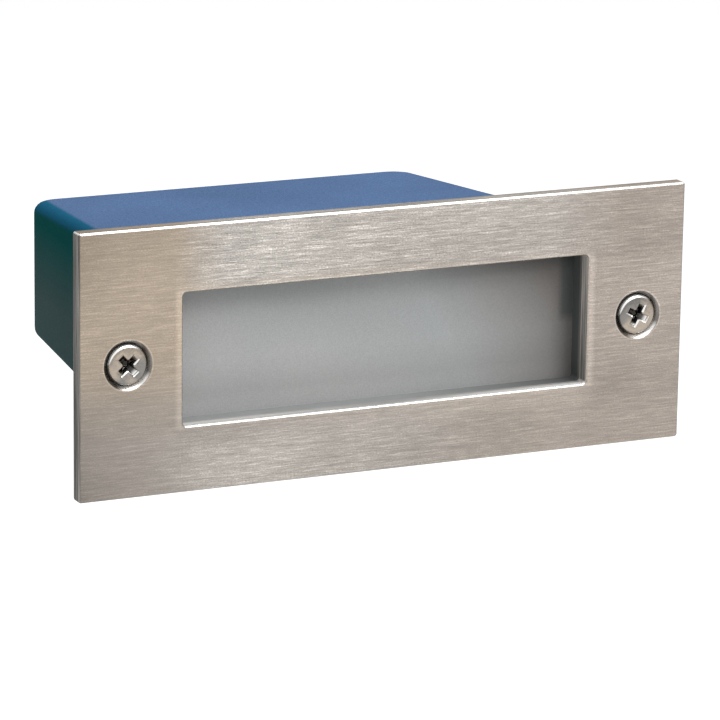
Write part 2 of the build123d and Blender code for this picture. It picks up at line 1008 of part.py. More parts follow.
with BuildPart() as gland_body:
    bar(gland_x, 0, entry_radius, shank_front, washer_back)
    hex_bar(gland_x, 0, gland_flats, washer_back, flange_back)
    bar(gland_x, 0, gland_barrel_radius, flange_back, barrel_back)
    bar(gland_x, 0, gland_bore_radius, shank_front, barrel_back, Mode.SUBTRACT)
    bar(
        gland_x,
        0,
        gland_seal_radius + running_clearance,
        seal_front,
        barrel_back,
        Mode.SUBTRACT,
    )

with BuildPart() as gland_seal:
    bar(gland_x, 0, gland_seal_radius, seal_front, seal_back)
    bar(gland_x, 0, cable_radius, seal_front, seal_back, Mode.SUBTRACT)

with BuildPart() as gland_nut:
    hex_bar(gland_x, 0, gland_flats, nut_front, barrel_back)
    bar(gland_x, 0, gland_barrel_radius + gland_nut_wall, barrel_back, nut_back)
    chamfer(gland_nut.faces().sort_by(Axis.Y)[-1].edges(), gland_nut_chamfer)
    bar(
        gland_x,
        0,
        gland_barrel_radius + running_clearance,
        nut_front,
        nut_floor,
        Mode.SUBTRACT,
    )
    bar(gland_x, 0, gland_nut_opening, nut_floor, nut_back, Mode.SUBTRACT)

with BuildPart() as blanking_plug:
    bar(plug_x, 0, entry_radius, shank_front, washer_back)
    bar(plug_x, 0, plug_head_radius, washer_back, washer_back + plug_head_height)
    chamfer(blanking_plug.faces().sort_by(Axis.Y)[-1].edges(), plug_chamfer)
    with Locations((plug_x, washer_back + plug_head_height - coin_slot_depth / 2, 0)):
        Box(2 * plug_head_radius, coin_slot_depth, coin_slot_width, mode=Mode.SUBTRACT)

# ---------------------------------------------------------------- one STEP file for each piece
pieces = {
    "face_plate": face_plate,
    "plate_gasket": plate_gasket,
    "face_screw_left": face_screw_left,
    "face_screw_right": face_screw_right,
    "screw_seals": screw_seals,
    "screw_retainers": screw_retainers,
    "diffuser_glass": diffuser_glass,
    "glass_gasket": glass_gasket,
    "recess_housing": recess_housing,
    "brass_inserts": brass_inserts,
    "reflector": reflector,
    "lamp_bracket": lamp_bracket,
    "bracket_screws": bracket_screws,
    "lamp_holder_body": lamp_holder_body,
    "lamp_holder_shell": lamp_holder_shell,
    "lamp_holder_contact": lamp_holder_contact,
    "lamp_holder_screws": lamp_holder_screws,
    "lamp_contact": lamp_contact,
    "lamp_insulator": lamp_insulator,
    "lamp_cap": lamp_cap,
    "lamp_bulb": lamp_bulb,
    "lamp_filament": lamp_filament,
    "terminal_block": terminal_block,
    "terminal_clamps": terminal_clamps,
    "clamp_screws": clamp_screws,
    "block_screws": block_screws,
    "live_wire": live_wire,
    "neutral_wire": neutral_wire,
    "earth_wire": earth_wire,
    "earth_tag": earth_tag,
    "earth_screw": earth_screw,
    "wire_grommets": wire_grommets,
    "gland_body": gland_body,
    "gland_washer": gland_washer,
    "gland_seal": gland_seal,
    "gland_nut": gland_nut,
    "gland_locknut": gland_locknut,
    "blanking_plug": blanking_plug,
    "blanking_plug_washer": blanking_plug_washer,
    "blanking_plug_locknut": blanking_plug_locknut,
}
os.makedirs("parts", exist_ok=True)
for name, piece in pieces.items():
    piece.part.label = name
    export_step(piece.part, f"parts/{name}.step")
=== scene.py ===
# %% [markdown]
# # A recessed step light, dressed for the camera
# The real light is a brushed steel plate with a long window, a frosted glass set back behind the
# window, and a blue housing that goes into the wall with the lamp and its wiring inside.
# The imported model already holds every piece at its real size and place, so nothing is moved here.
# What this file adds is what such a model lacks: metal grain, frosting, screw threads, moulded
# ribs, rounded edges, and the light that shows them. Each step first says what the real thing is.

import json
from math import ceil, cos, pi, radians, sin, tau

import bmesh
import bpy
from mathutils import Matrix, Vector

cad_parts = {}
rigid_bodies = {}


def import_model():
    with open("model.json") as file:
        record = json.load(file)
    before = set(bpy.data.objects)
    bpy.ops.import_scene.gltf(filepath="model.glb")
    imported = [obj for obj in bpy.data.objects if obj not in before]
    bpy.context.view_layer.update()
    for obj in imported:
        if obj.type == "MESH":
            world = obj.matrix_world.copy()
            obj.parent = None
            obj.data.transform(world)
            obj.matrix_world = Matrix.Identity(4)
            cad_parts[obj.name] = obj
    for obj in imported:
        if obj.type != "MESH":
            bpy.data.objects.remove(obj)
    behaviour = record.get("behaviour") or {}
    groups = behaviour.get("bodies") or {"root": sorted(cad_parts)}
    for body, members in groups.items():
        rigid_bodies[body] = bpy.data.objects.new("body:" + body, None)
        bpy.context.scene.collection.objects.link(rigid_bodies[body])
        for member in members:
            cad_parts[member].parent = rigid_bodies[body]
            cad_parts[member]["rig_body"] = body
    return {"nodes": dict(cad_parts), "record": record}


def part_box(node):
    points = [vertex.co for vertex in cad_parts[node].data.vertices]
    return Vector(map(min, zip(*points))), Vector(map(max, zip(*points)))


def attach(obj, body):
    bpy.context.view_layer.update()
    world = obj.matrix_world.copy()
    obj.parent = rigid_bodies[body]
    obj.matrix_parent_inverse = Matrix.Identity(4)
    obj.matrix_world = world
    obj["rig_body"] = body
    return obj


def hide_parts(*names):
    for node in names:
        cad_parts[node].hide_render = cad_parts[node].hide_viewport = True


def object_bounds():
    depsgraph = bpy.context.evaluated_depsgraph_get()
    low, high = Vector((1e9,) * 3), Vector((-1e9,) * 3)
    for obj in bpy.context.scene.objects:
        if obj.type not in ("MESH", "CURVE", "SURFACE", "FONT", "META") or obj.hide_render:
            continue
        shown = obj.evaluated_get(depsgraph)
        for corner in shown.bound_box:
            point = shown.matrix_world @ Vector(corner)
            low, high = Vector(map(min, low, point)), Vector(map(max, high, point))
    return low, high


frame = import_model()
cad_low, cad_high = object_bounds()
nodes = frame["nodes"]
MM = 0.001
print("nodes", len(nodes), "size in mm", [round(side / MM, 1) for side in cad_high - cad_low])

# %% [markdown]
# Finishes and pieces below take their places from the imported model: where the screws sit, where a
# gasket ends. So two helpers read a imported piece's box, in millimetres.

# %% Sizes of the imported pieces
def edges_of(name):
    """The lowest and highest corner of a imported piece, in millimetres."""
    low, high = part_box(name)
    return Vector(low) / MM, Vector(high) / MM


def middle_of(name):
    """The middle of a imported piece, in millimetres."""
    low, high = edges_of(name)
    return (low + high) / 2


screw_x = middle_of("face_screw_right").x
print("the plate's edges in mm", [round(side, 1) for side in edges_of("face_plate")[1]])

# %% [markdown]
# The photograph was taken with a long lens from the left and a little above: the plate's long
# edges hardly converge. A camera is fixed by where it looks, from which side, how far away it
# is and how long its lens is, so those are the values here, and its axes are worked out from them.

# %% Camera
camera_azimuth = radians(-25.07)
camera_elevation = radians(14.34)
camera_roll = radians(0.80)
camera_distance = 1118 * MM
camera_target = Vector((-8.27, -4.0, -4.63)) * MM
camera_lens = 219.5
sensor_width = 36.0


def placed(name, data):
    """A new object in the scene that shows that data."""
    made = bpy.data.objects.new(name, data)
    bpy.context.scene.collection.objects.link(made)
    return made


back = Vector((
    sin(camera_azimuth) * cos(camera_elevation),
    -cos(camera_azimuth) * cos(camera_elevation),
    sin(camera_elevation),
))
level_right = Vector((0, 0, 1)).cross(back).normalized()
level_up = back.cross(level_right)
camera_right = cos(camera_roll) * level_right + sin(camera_roll) * level_up
camera_up = cos(camera_roll) * level_up - sin(camera_roll) * level_right
camera_data = bpy.data.cameras.new("camera")
camera_data.lens = camera_lens
camera_data.sensor_width = sensor_width
camera = placed("camera", camera_data)
camera_axes = Matrix((camera_right, camera_up, back)).transposed().to_4x4()
camera.matrix_world = Matrix.Translation(camera_target + back * camera_distance) @ camera_axes
bpy.context.scene.camera = camera
bpy.context.scene.view_settings.view_transform = "Standard"
print("camera at", [round(place, 3) for place in camera.location])

# %% [markdown]
# # The finishes
# A shader is a small graph. Building one by hand takes three lines a node, so one helper makes a
# node, sets its options and fills its sockets: a plain value is stored in the socket, and a socket
# of another node is linked to it. The others name what a finish is built from.

# %% Nodes and surfaces
def add(tree, kind, sockets=(), **options):
    """A new node of that kind, with its sockets filled by name or number."""
    made = tree.nodes.new(kind)
    for option, value in options.items():
        setattr(made, option, value)
    for socket, value in dict(sockets).items():
        if isinstance(value, bpy.types.NodeSocket):
            tree.links.new(value, made.inputs[socket])
        else:
            made.inputs[socket].default_value = value
    return made


def new_finish(name, **sockets):
    """A material, its tree and its Principled shader, with constants set on the shader itself."""
    material = bpy.data.materials.new(name)
    material.use_nodes = True
    tree = material.node_tree
    surface = tree.nodes["Principled BSDF"]
    for socket, value in sockets.items():
        surface.inputs[socket.replace("_", " ")].default_value = value
    return material, tree, surface


def relief(tree, surface, height, depth):
    """Bumps that deep, in millimetres, from a height of 0 to 1."""
    bump = add(tree, "ShaderNodeBump", {"Height": height, "Distance": depth * MM})
    tree.links.new(bump.outputs[0], surface.inputs["Normal"])


def clothe(tree, surface, colour, roughness, height, depth):
    """Gives a surface its colour, its roughness and its relief."""
    tree.links.new(colour, surface.inputs["Base Color"])
    tree.links.new(roughness, surface.inputs["Roughness"])
    relief(tree, surface, height, depth)


finishes = {}
print("nodes and surfaces ready")


# %% Numbers in a shader
def number(tree, operation, first, second=0.0):
    """One step of arithmetic on two numbers."""
    return add(tree, "ShaderNodeMath", {0: first, 1: second}, operation=operation).outputs[0]


def absolute(tree, value):
    """A number without its sign."""
    return number(tree, "ABSOLUTE", value)


def product(tree, *factors):
    """Several numbers multiplied."""
    result = factors[0]
    for factor in factors[1:]:
        result = number(tree, "MULTIPLY", result, factor)
    return result


def remap(tree, value, low, high, to_low=0.0, to_high=1.0):
    """A value moved from one range into another and kept inside it."""
    sockets = {"Value": value, 1: low, 2: high, 3: to_low, 4: to_high}
    return add(tree, "ShaderNodeMapRange", sockets).outputs[0]


def eased(tree, share, factor):
    """A factor that is 1 where the share is 0 and goes to its full value where the share is 1."""
    return remap(tree, share, 0.0, 1.0, 1.0, factor)


def between(tree, share, first, second):
    """Two numbers mixed by a share."""
    made = add(tree, "ShaderNodeMix", {0: share, 2: first, 3: second}, data_type="FLOAT")
    return made.outputs[0]


print("numbers ready")


# %% Colours in a shader
def blend(tree, share, first, second):
    """Two colours mixed by a share."""
    made = add(tree, "ShaderNodeMix", {0: share}, data_type="RGBA")
    for socket, value in ((6, first), (7, second)):
        if isinstance(value, bpy.types.NodeSocket):
            tree.links.new(value, made.inputs[socket])
        else:
            made.inputs[socket].default_value = (*value, 1)
    return made.outputs[2]


def scaled(tree, colour, factor):
    """A colour made lighter or darker by a factor."""
    made = add(tree, "ShaderNodeVectorMath", {0: colour, "Scale": factor}, operation="SCALE")
    return made.outputs[0]


def shaded(tree, colour, share, factor):
    """A colour made lighter or darker by a factor where the share is 1."""
    return scaled(tree, colour, eased(tree, share, factor))


print("colours ready")

# %% [markdown]
# A finish changes over the piece, so it has to know where on the piece a point is and which way
# the surface faces there. The place is taken in the piece's own coordinates, so that grain and
# dust move along with it. Noise gives grain and clouds, and a zone is a patch with soft edges.

# %% Places, noise and zones
NOISE_SPAN = (0.3, 0.7)


def own_place(tree, stretch=(1, 1, 1)):
    """Coordinates in metres that stay with the piece, stretched along its axes."""
    place = add(tree, "ShaderNodeTexCoord").outputs["Object"]
    return add(tree, "ShaderNodeMapping", {"Vector": place, "Scale": stretch}).outputs[0]


def place_of(tree):
    """The point's x, y and z in metres, as three numbers."""
    return add(tree, "ShaderNodeSeparateXYZ", {0: own_place(tree)}).outputs


def facing(tree):
    """The direction that the surface faces."""
    return add(tree, "ShaderNodeTexCoord").outputs["Normal"]


def facing_of(tree):
    """How far the surface faces right, back and up, from -1 to 1, as three numbers."""
    return add(tree, "ShaderNodeSeparateXYZ", {0: facing(tree)}).outputs


def grain(tree, size, detail=2.0, roughness=0.5, stretch=(1, 1, 1)):
    """Cloudy noise from 0 to 1, its grain about that size in millimetres."""
    place = own_place(tree, stretch)
    sockets = {"Vector": place, "Scale": 1 / (size * MM), "Detail": detail, "Roughness": roughness}
    return add(tree, "ShaderNodeTexNoise", sockets).outputs[0]


def spread(tree, grains, low, high):
    """Noise spread over a range, from the span that it seldom leaves."""
    return remap(tree, grains, *NOISE_SPAN, low, high)


def zone(tree, *edges):
    """1 in a zone of the piece and 0 outside it, with soft edges.

    An edge is an axis and two places on it in millimetres: where the zone starts and where it is
    full. An axis between bars, such as |x|, is measured both ways from the middle.
    """
    axes = dict(zip("xyz", place_of(tree)))
    shares = []
    for axis, start, full in edges:
        place = axes[axis.strip("|")]
        if "|" in axis:
            place = absolute(tree, place)
        shares.append(remap(tree, place, start * MM, full * MM))
    return product(tree, *shares)


def round_screws(tree, *edges):
    """1 in a ring round each face screw, from edges like those of a zone, along its radius."""
    x, _, z = place_of(tree)
    across = number(tree, "SUBTRACT", absolute(tree, x), screw_x * MM)
    flat = add(tree, "ShaderNodeCombineXYZ", {0: across, 2: z}).outputs[0]
    reach = add(tree, "ShaderNodeVectorMath", {0: flat}, operation="LENGTH").outputs["Value"]
    return product(tree, *[remap(tree, reach, start * MM, full * MM) for start, full in edges])


print("places and zones ready, face screws at x", round(screw_x, 1), "mm")

# %% [markdown]
# ## Brushed steel
# The plate's face was drawn under an abrasive belt, which leaves fine straight scratches along its
# length. Stretched noise gives such lines: long in one direction and well under a millimetre
# thick in the other. Three kinds are added up, because a belt's grit isn't all of one size.
# On the long rails above and below the window a painted reflection of the lamps makes the steel
# paler and its scratches show most, and towards the plate's ends they fade into an even beige.

# %% Painted reflection on the rails
reflection_far_right = 0.72
reflection_below = 0.75


def painted_reflection_zone(tree):
    """1 where the painted reflection lies, on the rails, and 0 at the plate's ends."""
    above = zone(tree, ("z", 14, 20), ("x", -60, -46), ("x", 66, 46))
    above = product(tree, above, eased(tree, zone(tree, ("x", -30, 50)), reflection_far_right))
    below = zone(tree, ("z", -15, -26), ("x", -68, -50), ("x", 58, -38))
    return number(tree, "MAXIMUM", above, product(tree, below, reflection_below))


# %% Scratches of the belt
scratch_kinds = (
    # length, thickness and share of each kind; the shares add up to 2, so the sum is 1 on average
    (13.0, 0.34, 0.62),
    (3.6, 0.30, 0.58),
    (0.5, 0.25, 0.80),
)
scratch_detail = 2.0
scratch_roughness = 0.65
scratch_contrast = 0.82
contrast_at_ends = (0.42, 0.70)
contrast_below = 0.84
contrast_right = 0.80
hollow_lines = (0.6, 1.0)
hollow_depth = 0.9
ridge_lines = (1.02, 1.4)
ridge_height = 2.0
rim_highlight = 1.30


def belt_lines(tree):
    """The scratches added up: below 1 in their hollows and above it on their ridges."""
    lines = 0.0
    for length, thickness, share in scratch_kinds:
        stretch = (thickness / length, 1, 1)
        scratch = grain(tree, thickness, scratch_detail, scratch_roughness, stretch)
        lines = number(tree, "ADD", lines, product(tree, scratch, share))
    return lines


def line_tone(tree, lines, pressed):
    """How much lighter or darker than the steel round it a scratch is, as a factor."""
    at_left, at_right = (share * scratch_contrast for share in contrast_at_ends)
    at_ends = between(tree, zone(tree, ("x", -60, 66)), at_left, at_right)
    contrast = product(
        tree,
        # the scratches show most inside the painted reflection on the rails, as a painted sparkle
        between(tree, pressed, at_ends, scratch_contrast),
        eased(tree, zone(tree, ("z", 10, -16)), contrast_below),
        eased(tree, zone(tree, ("x", -10, 50)), contrast_right),
    )
    hollows = remap(tree, lines, *hollow_lines, -hollow_depth, 0.0)
    ridges = remap(tree, lines, *ridge_lines, 0.0, ridge_height)
    swing = product(tree, number(tree, "ADD", hollows, ridges), contrast)
    return number(tree, "ADD", swing, 1.0)


def painted_rim_highlight(tree, tone):
    """A painted highlight along the window's ends and round the screws' recesses."""
    beside_window = zone(tree, ("|x|", 59.4, 58.2), ("|z|", 18.5, 17))
    round_recess = round_screws(tree, (6.3, 6.4), (6.95, 6.7))
    # painted highlight on these rims
    worn = (eased(tree, share, rim_highlight) for share in (beside_window, round_recess))
    return product(tree, tone, *worn)


print("scratch shares add up to", sum(kind[2] for kind in scratch_kinds))

# %% [markdown]
# Under its scratches the steel's tone changes slowly along the plate: beige at the left end, sandy
# at the right one, greyer under the window and darker in the lower half. Part of that is the steel's
# own tone and part is painted reflection and shade of the room that it mirrors. Both change slowly,
# so wide zones give them.

# %% Tone of the steel
metal_beige = (0.318, 0.264, 0.208)
metal_sand = (0.315, 0.275, 0.24)
metal_grey = (0.285, 0.255, 0.226)
metal_reflection_pale = (0.39, 0.364, 0.334)
left_light = 1.05
corner_shade = 0.78
low_corner_shade = 0.94
steel_cloud = 45.45
steel_cloud_stretch = (1, 1, 3)
steel_cloud_tone = (0.94, 1.06)
smudge = 13.33
smudge_stretch = (1, 1, 0.8)
smudge_tone = (0.955, 1.045)
painted_light_zones = {
    # the edges of each zone of painted light and shade, and how light the steel is in it
    "under the window": ([("z", -25, -20), ("z", -15, -17), ("x", -25, 5), ("x", 62, 54)], 1.20),
    "over the window": ([("z", 28, 20), ("z", 15, 17), ("x", -8, 22)], 0.93),
    "low at the left": ([("z", -20, -27), ("x", -64, -52), ("x", -22, -36)], 1.06),
    "right": ([("x", 30, 60)], 0.972),
    "low at the right": ([("z", -10, -18), ("x", -10, 25)], 0.955),
    "lower half": ([("z", 12, -12)], 0.86),
}


def left_end_tone(tree):
    """Light at the left end's middle and shaded towards its corners, the upper one most."""
    corner = product(
        tree,
        eased(tree, zone(tree, ("|z|", 8, 30)), corner_shade),
        eased(tree, zone(tree, ("z", -5, -25)), low_corner_shade),
    )
    return between(tree, zone(tree, ("x", -62, -85)), left_light, corner)


def steel_tone(tree, pressed):
    """The steel's colour along and across the plate, with its painted reflection and shade, without
    its scratches.
    """
    tone = blend(tree, zone(tree, ("x", -20, 50)), metal_beige, metal_sand)
    tone = blend(tree, zone(tree, ("x", 45, 5), ("z", 2, -20)), tone, metal_grey)
    tone = scaled(tree, tone, left_end_tone(tree))
    # painted reflection of the lamps on the rails
    tone = blend(tree, pressed, tone, metal_reflection_pale)
    for edges, light in painted_light_zones.values():
        tone = shaded(tree, tone, zone(tree, *edges), light)
    clouds = grain(tree, steel_cloud, stretch=steel_cloud_stretch)
    smudges = grain(tree, smudge, 3.0, 0.6, smudge_stretch)
    tone = scaled(tree, tone, spread(tree, clouds, *steel_cloud_tone))
    return scaled(tree, tone, spread(tree, smudges, *smudge_tone))


print("tone zones", list(painted_light_zones))

# %% [markdown]
# The plate's narrow surfaces look different from its face. Its cut ends and the window's reveal
# carry upright lines from the cutter. The bevel over the plate and the sill under the window get a
# painted highlight where they face the lamp above, and the recesses round the screws are turned and
# get painted shade, with a painted glint where they face that lamp. Each is told apart by its place
# and by the way it faces.

# %% Cut edges and recesses
edge_dark = (0.07, 0.066, 0.062)
edge_light = (0.27, 0.258, 0.242)
reveal_side = (0.37, 0.354, 0.333)
reveal_lines = (0.4, 1.5)
sill_painted_highlight = (0.57, 0.56, 0.545)
sill_lip_highlight = (0.84, 0.83, 0.81)
bevel_painted_highlight = (0.62, 0.61, 0.59)
top_shade = 0.76
recess_painted_shade = (0.20, 0.19, 0.178)
recess_painted_glint = (0.78, 0.77, 0.75)
cut_line_width = 0.9
cut_line_height = 40.0
cut_line_span = (0.38, 0.62)
faces_sideways = (0.45, 0.68)
faces_reveal = (-0.8, -0.95)
faces_sill = (0.4, 0.68)
faces_bevel = ((0.3, 0.72), (0.95, 0.85))
faces_up = (0.95, 0.99)
lamp_side = (-0.35, 0.0, 0.94)
lamp_mirrored = (0.48, 0.62)


def towards_lamp(tree):
    """How far the surface faces up and to the left, where bare metal mirrors the top lamp."""
    sockets = {0: facing(tree), 1: lamp_side}
    return add(tree, "ShaderNodeVectorMath", sockets, operation="DOT_PRODUCT").outputs["Value"]


def cut_edges(tree, face_colour):
    """The face's colour, with the ends and the reveal in their own, a painted highlight on the bevel
    and the sill, and painted shade on the top edge.
    """
    sideways, _, upward = facing_of(tree)
    stretch = (cut_line_width * MM, 1, cut_line_width / cut_line_height)
    cut_lines = remap(tree, grain(tree, cut_line_width, 3.0, 0.7, stretch), *cut_line_span)
    in_window = zone(tree, ("|x|", 70, 60))
    outside = number(tree, "SUBTRACT", 1.0, in_window)
    end = product(tree, remap(tree, absolute(tree, sideways), *faces_sideways), outside)
    colour = blend(tree, end, face_colour, blend(tree, cut_lines, edge_dark, edge_light))
    reveal = product(tree, in_window, remap(tree, sideways, *faces_reveal))
    reveal_colour = scaled(tree, reveal_side, remap(tree, cut_lines, 0.0, 1.0, *reveal_lines))
    colour = blend(tree, reveal, colour, reveal_colour)
    # painted highlight on the sill under the window, where it faces up
    sill_place = zone(tree, ("|z|", 20, 18))
    sill = product(tree, sill_place, in_window, remap(tree, upward, *faces_sill))
    sill_colour = blend(tree, zone(tree, ("y", -3.2, -2.6)), sill_lip_highlight, sill_painted_highlight)
    colour = blend(tree, sill, colour, sill_colour)
    # painted highlight on the bevel over the plate, painted shade on its flat top edge
    top_edge = zone(tree, ("z", 30, 33))
    tilted = product(tree, *[remap(tree, upward, *limits) for limits in faces_bevel])
    colour = blend(tree, product(tree, top_edge, tilted), colour, bevel_painted_highlight)
    level = remap(tree, upward, *faces_up)
    return shaded(tree, colour, product(tree, top_edge, level), top_shade)


def recesses_with_painted_light(tree, colour):
    """The colour, with painted shade in the recesses round the face screws and a painted glint where
    they face the top lamp.
    """
    glint = remap(tree, towards_lamp(tree), *lamp_mirrored)
    # painted shade in the recess, painted glint towards the lamp
    recess_colour = blend(tree, glint, recess_painted_shade, recess_painted_glint)
    return blend(tree, round_screws(tree, (6.45, 6.35), (5.2, 5.3)), colour, recess_colour)


# %% Brushed steel finish
face_roughness = (0.22, 0.34)
shine_lines = (0.7, 1.3)
wall_roughness = 0.75
faces_along_wall = (0.5, 0.3)
scratch_relief = 0.008


def brushed_steel():
    material, tree, surface = new_finish("brushed_steel", Metallic=1.0, Anisotropic=0.4)
    # pressed is the share of the painted reflection on the rails
    pressed = painted_reflection_zone(tree)
    lines = belt_lines(tree)
    scratched = painted_rim_highlight(tree, line_tone(tree, lines, pressed))
    face_colour = scaled(tree, steel_tone(tree, pressed), scratched)
    colour = recesses_with_painted_light(tree, cut_edges(tree, face_colour))
    depthways = facing_of(tree)[1]
    wall = remap(tree, absolute(tree, depthways), *faces_along_wall)
    shine = remap(tree, lines, *shine_lines, *face_roughness)
    shine = number(tree, "MAXIMUM", shine, product(tree, wall, wall_roughness))
    clothe(tree, surface, colour, shine, lines, scratch_relief)
    return material


finishes["brushed_plate"] = brushed_steel()
print("brushed steel", len(finishes["brushed_plate"].node_tree.nodes), "nodes")

# %% [markdown]
# ## Housing
# The housing is blue plastic with a fine pebbled skin. Its top gets a painted highlight that makes
# it paler and bluer, while painted shade makes its sides a deep teal, which is greyer lower down.
# The painted highlight covers what faces up, and it ends in a ragged edge just before the left
# edge's rounding, so the mix follows the surface's own direction and its distance from that edge,
# which the pebbles break up.
# The skin is dull, so its specular level is 0, or the studio's light would wash the teal out.

# %% Housing finish
housing_shaded_teal = (0.010, 0.098, 0.093)
housing_low_teal = (0.075, 0.122, 0.122)
housing_blue = (0.017, 0.126, 0.222)
housing_painted_top_light = (0.112, 0.188, 0.345)
pebble_size = 0.45
pebble_span = (0.3, 0.75)
pebble_tone = (0.88, 1.18)
pebble_roughness = (0.5, 0.66)
pebble_relief = 0.05
housing_cloud = 33.33
housing_cloud_tone = (0.93, 1.07)
top_light_tone = (0.86, 1.16)
turns_lit = (0.1, 0.5)
faces_top_light = (0.8, 0.99)
top_light_taper = 0.101
top_light_edge = (63.5, 62.5)
top_light_raggedness = 0.8


def top_light_reach(tree, pebbles):
    """1 where the painted highlight on the top lies and 0 left of its ragged edge, which tapers with
    the housing.
    """
    across, deep, _ = place_of(tree)
    from_left = number(tree, "SUBTRACT", product(tree, deep, top_light_taper), across)
    shift = spread(tree, pebbles, -top_light_raggedness * MM, top_light_raggedness * MM)
    start, full = top_light_edge
    return remap(tree, number(tree, "ADD", from_left, shift), start * MM, full * MM)


def moulded_blue():
    material, tree, surface = new_finish("moulded_blue", Specular_IOR_Level=0.0)
    upward = facing_of(tree)[2]
    pebbles = grain(tree, pebble_size, 3.0, 0.6)
    clouds = grain(tree, housing_cloud)
    teal = blend(tree, zone(tree, ("z", 14, -6)), housing_shaded_teal, housing_low_teal)
    # painted light and shade: teal where a surface faces sideways, blue as it faces up
    shade = blend(tree, remap(tree, upward, *turns_lit), teal, housing_blue)
    # painted highlight on what faces up, as far as its ragged edge
    painted_lit = product(tree, remap(tree, upward, *faces_top_light), top_light_reach(tree, pebbles))
    top_light_colour = scaled(tree, housing_painted_top_light, remap(tree, pebbles, *pebble_span, *top_light_tone))
    shade = blend(tree, painted_lit, shade, top_light_colour)
    shade = scaled(tree, shade, spread(tree, clouds, *housing_cloud_tone))
    shade = scaled(tree, shade, remap(tree, pebbles, *pebble_span, *pebble_tone))
    shine = spread(tree, pebbles, *pebble_roughness)
    clothe(tree, surface, shade, shine, pebbles, pebble_relief)
    return material


finishes["blue_housing"] = moulded_blue()
print("housing finish ready")

# %% [markdown]
# ## Frosted glass
# The pane is ground on both faces, so it scatters what comes through it. Part of the light is
# passed on blurred and the rest is scattered back, which one shader does with a rough surface and
# a share of transmission. Towards the lamp's free end a painted shade makes the pane darker and
# more brown, in place of the dark chamber behind, and a rubber tab shows through at the upper right.
# Under the window's upper edge a painted shadow darkens the pane, low down painted shade makes it a
# little darker, and above the lip painted light makes it pale again. Each is a smooth change of tone
# along the pane's own axes.

# %% Frosted glass finish
frost_pale = (0.615, 0.62, 0.61)
frost_blue = (0.535, 0.555, 0.555)
frost_painted_shade = (0.235, 0.217, 0.202)
frost_tab = (0.118, 0.130, 0.125)
painted_frost_bands = {
    # the edges of each band of painted light and shade, and how light the frosting is in it
    "under the upper edge": ([("z", 8, 16.5)], 0.80),
    "low": ([("z", -3, -10.5)], 0.86),
    "above the lip": ([("z", -12, -16.5)], 1.24),
    "upper right": ([("z", 11.5, 16.5), ("x", 10, 44)], 0.33),
}
brown_slant = 0.6
brown_wander = 3.0
brown_ramp = (17.0, 58.0)
frost_cloud = 40
frost_cloud_span = (0.35, 0.65)
speck_size = 0.3
speck_tone = (0.88, 1.12)
speck_relief = 0.02


def painted_chamber_shade(tree, clouds):
    """0 at the pane's left and 1 at its right, slanted and wandering: where the painted shade lies.
    """
    x, _, z = place_of(tree)
    wander = spread(tree, clouds, -brown_wander * MM, brown_wander * MM)
    slanted = number(tree, "ADD", x, product(tree, z, brown_slant))
    start, full = brown_ramp
    return remap(tree, number(tree, "ADD", slanted, wander), start * MM, full * MM)


def frosted_glass():
    material, tree, surface = new_finish(
        "frosted_glass", Roughness=0.55, IOR=1.5, Transmission_Weight=0.25
    )
    clouds = grain(tree, frost_cloud, 1.0)
    speck = grain(tree, speck_size, 2.0, 0.7)
    colour = blend(tree, remap(tree, clouds, *frost_cloud_span), frost_blue, frost_pale)
    # painted shade towards the lamp's free end
    colour = blend(tree, painted_chamber_shade(tree, clouds), colour, frost_painted_shade)
    tab = zone(tree, ("x", 52.6, 54.4), ("z", -2.8, 0.2))
    colour = blend(tree, tab, colour, frost_tab)
    for edges, light in painted_frost_bands.values():
        colour = shaded(tree, colour, zone(tree, *edges), light)
    colour = scaled(tree, colour, spread(tree, speck, *speck_tone))
    tree.links.new(colour, surface.inputs["Base Color"])
    relief(tree, surface, speck, speck_relief)
    return material


finishes["frosted_glass"] = frosted_glass()
print("frosted glass with bands", list(painted_frost_bands))

# %% [markdown]
# ## Plain metals, plastics and rubber
# The smaller pieces share a few recipes. A plated or turned metal is smooth with faint clouds in
# its tone and hairline marks in its roughness, a moulded plastic has a fine matt skin, and rubber
# is dark, with a bloom that lightens it in patches. Each recipe takes the piece's own colour.

# %% Recipes for the smaller pieces
CLOUD_SPAN = (0.35, 0.7)
metal_cloud = 6
metal_deep = 0.72
mark_relief = 0.006
mould_cloud = 9
skin_relief = 0.01


def worked_metal(name, colour, roughness, mark_size=0.3):
    """Plated, turned or pressed metal: a clouded tone, and marks of that size in millimetres."""
    material, tree, surface = new_finish(name, Metallic=1.0)
    clouds = grain(tree, metal_cloud, 3.0)
    marks = grain(tree, mark_size, 4.0, 0.65)
    deep = [share * metal_deep for share in colour]
    tone = blend(tree, remap(tree, clouds, *CLOUD_SPAN), deep, colour)
    shine = spread(tree, marks, roughness * 0.8, roughness * 1.3)
    clothe(tree, surface, tone, shine, marks, mark_relief)
    return material


def moulded(name, colour, roughness, skin_size=0.25, mottle=0.48, gloss=0.5):
    """Moulded plastic, rubber or glaze: a slight mottle, and a skin with grain of that size."""
    material, tree, surface = new_finish(name, Specular_IOR_Level=gloss)
    skin = grain(tree, skin_size, 3.0, 0.6)
    clouds = grain(tree, mould_cloud)
    worn = [min(1.0, share * 1.35 + 0.012) for share in colour]
    tone = blend(tree, remap(tree, clouds, *CLOUD_SPAN, 0.0, mottle), colour, worn)
    shine = spread(tree, skin, roughness * 0.85, roughness * 1.15)
    clothe(tree, surface, tone, shine, skin, skin_relief)
    return material


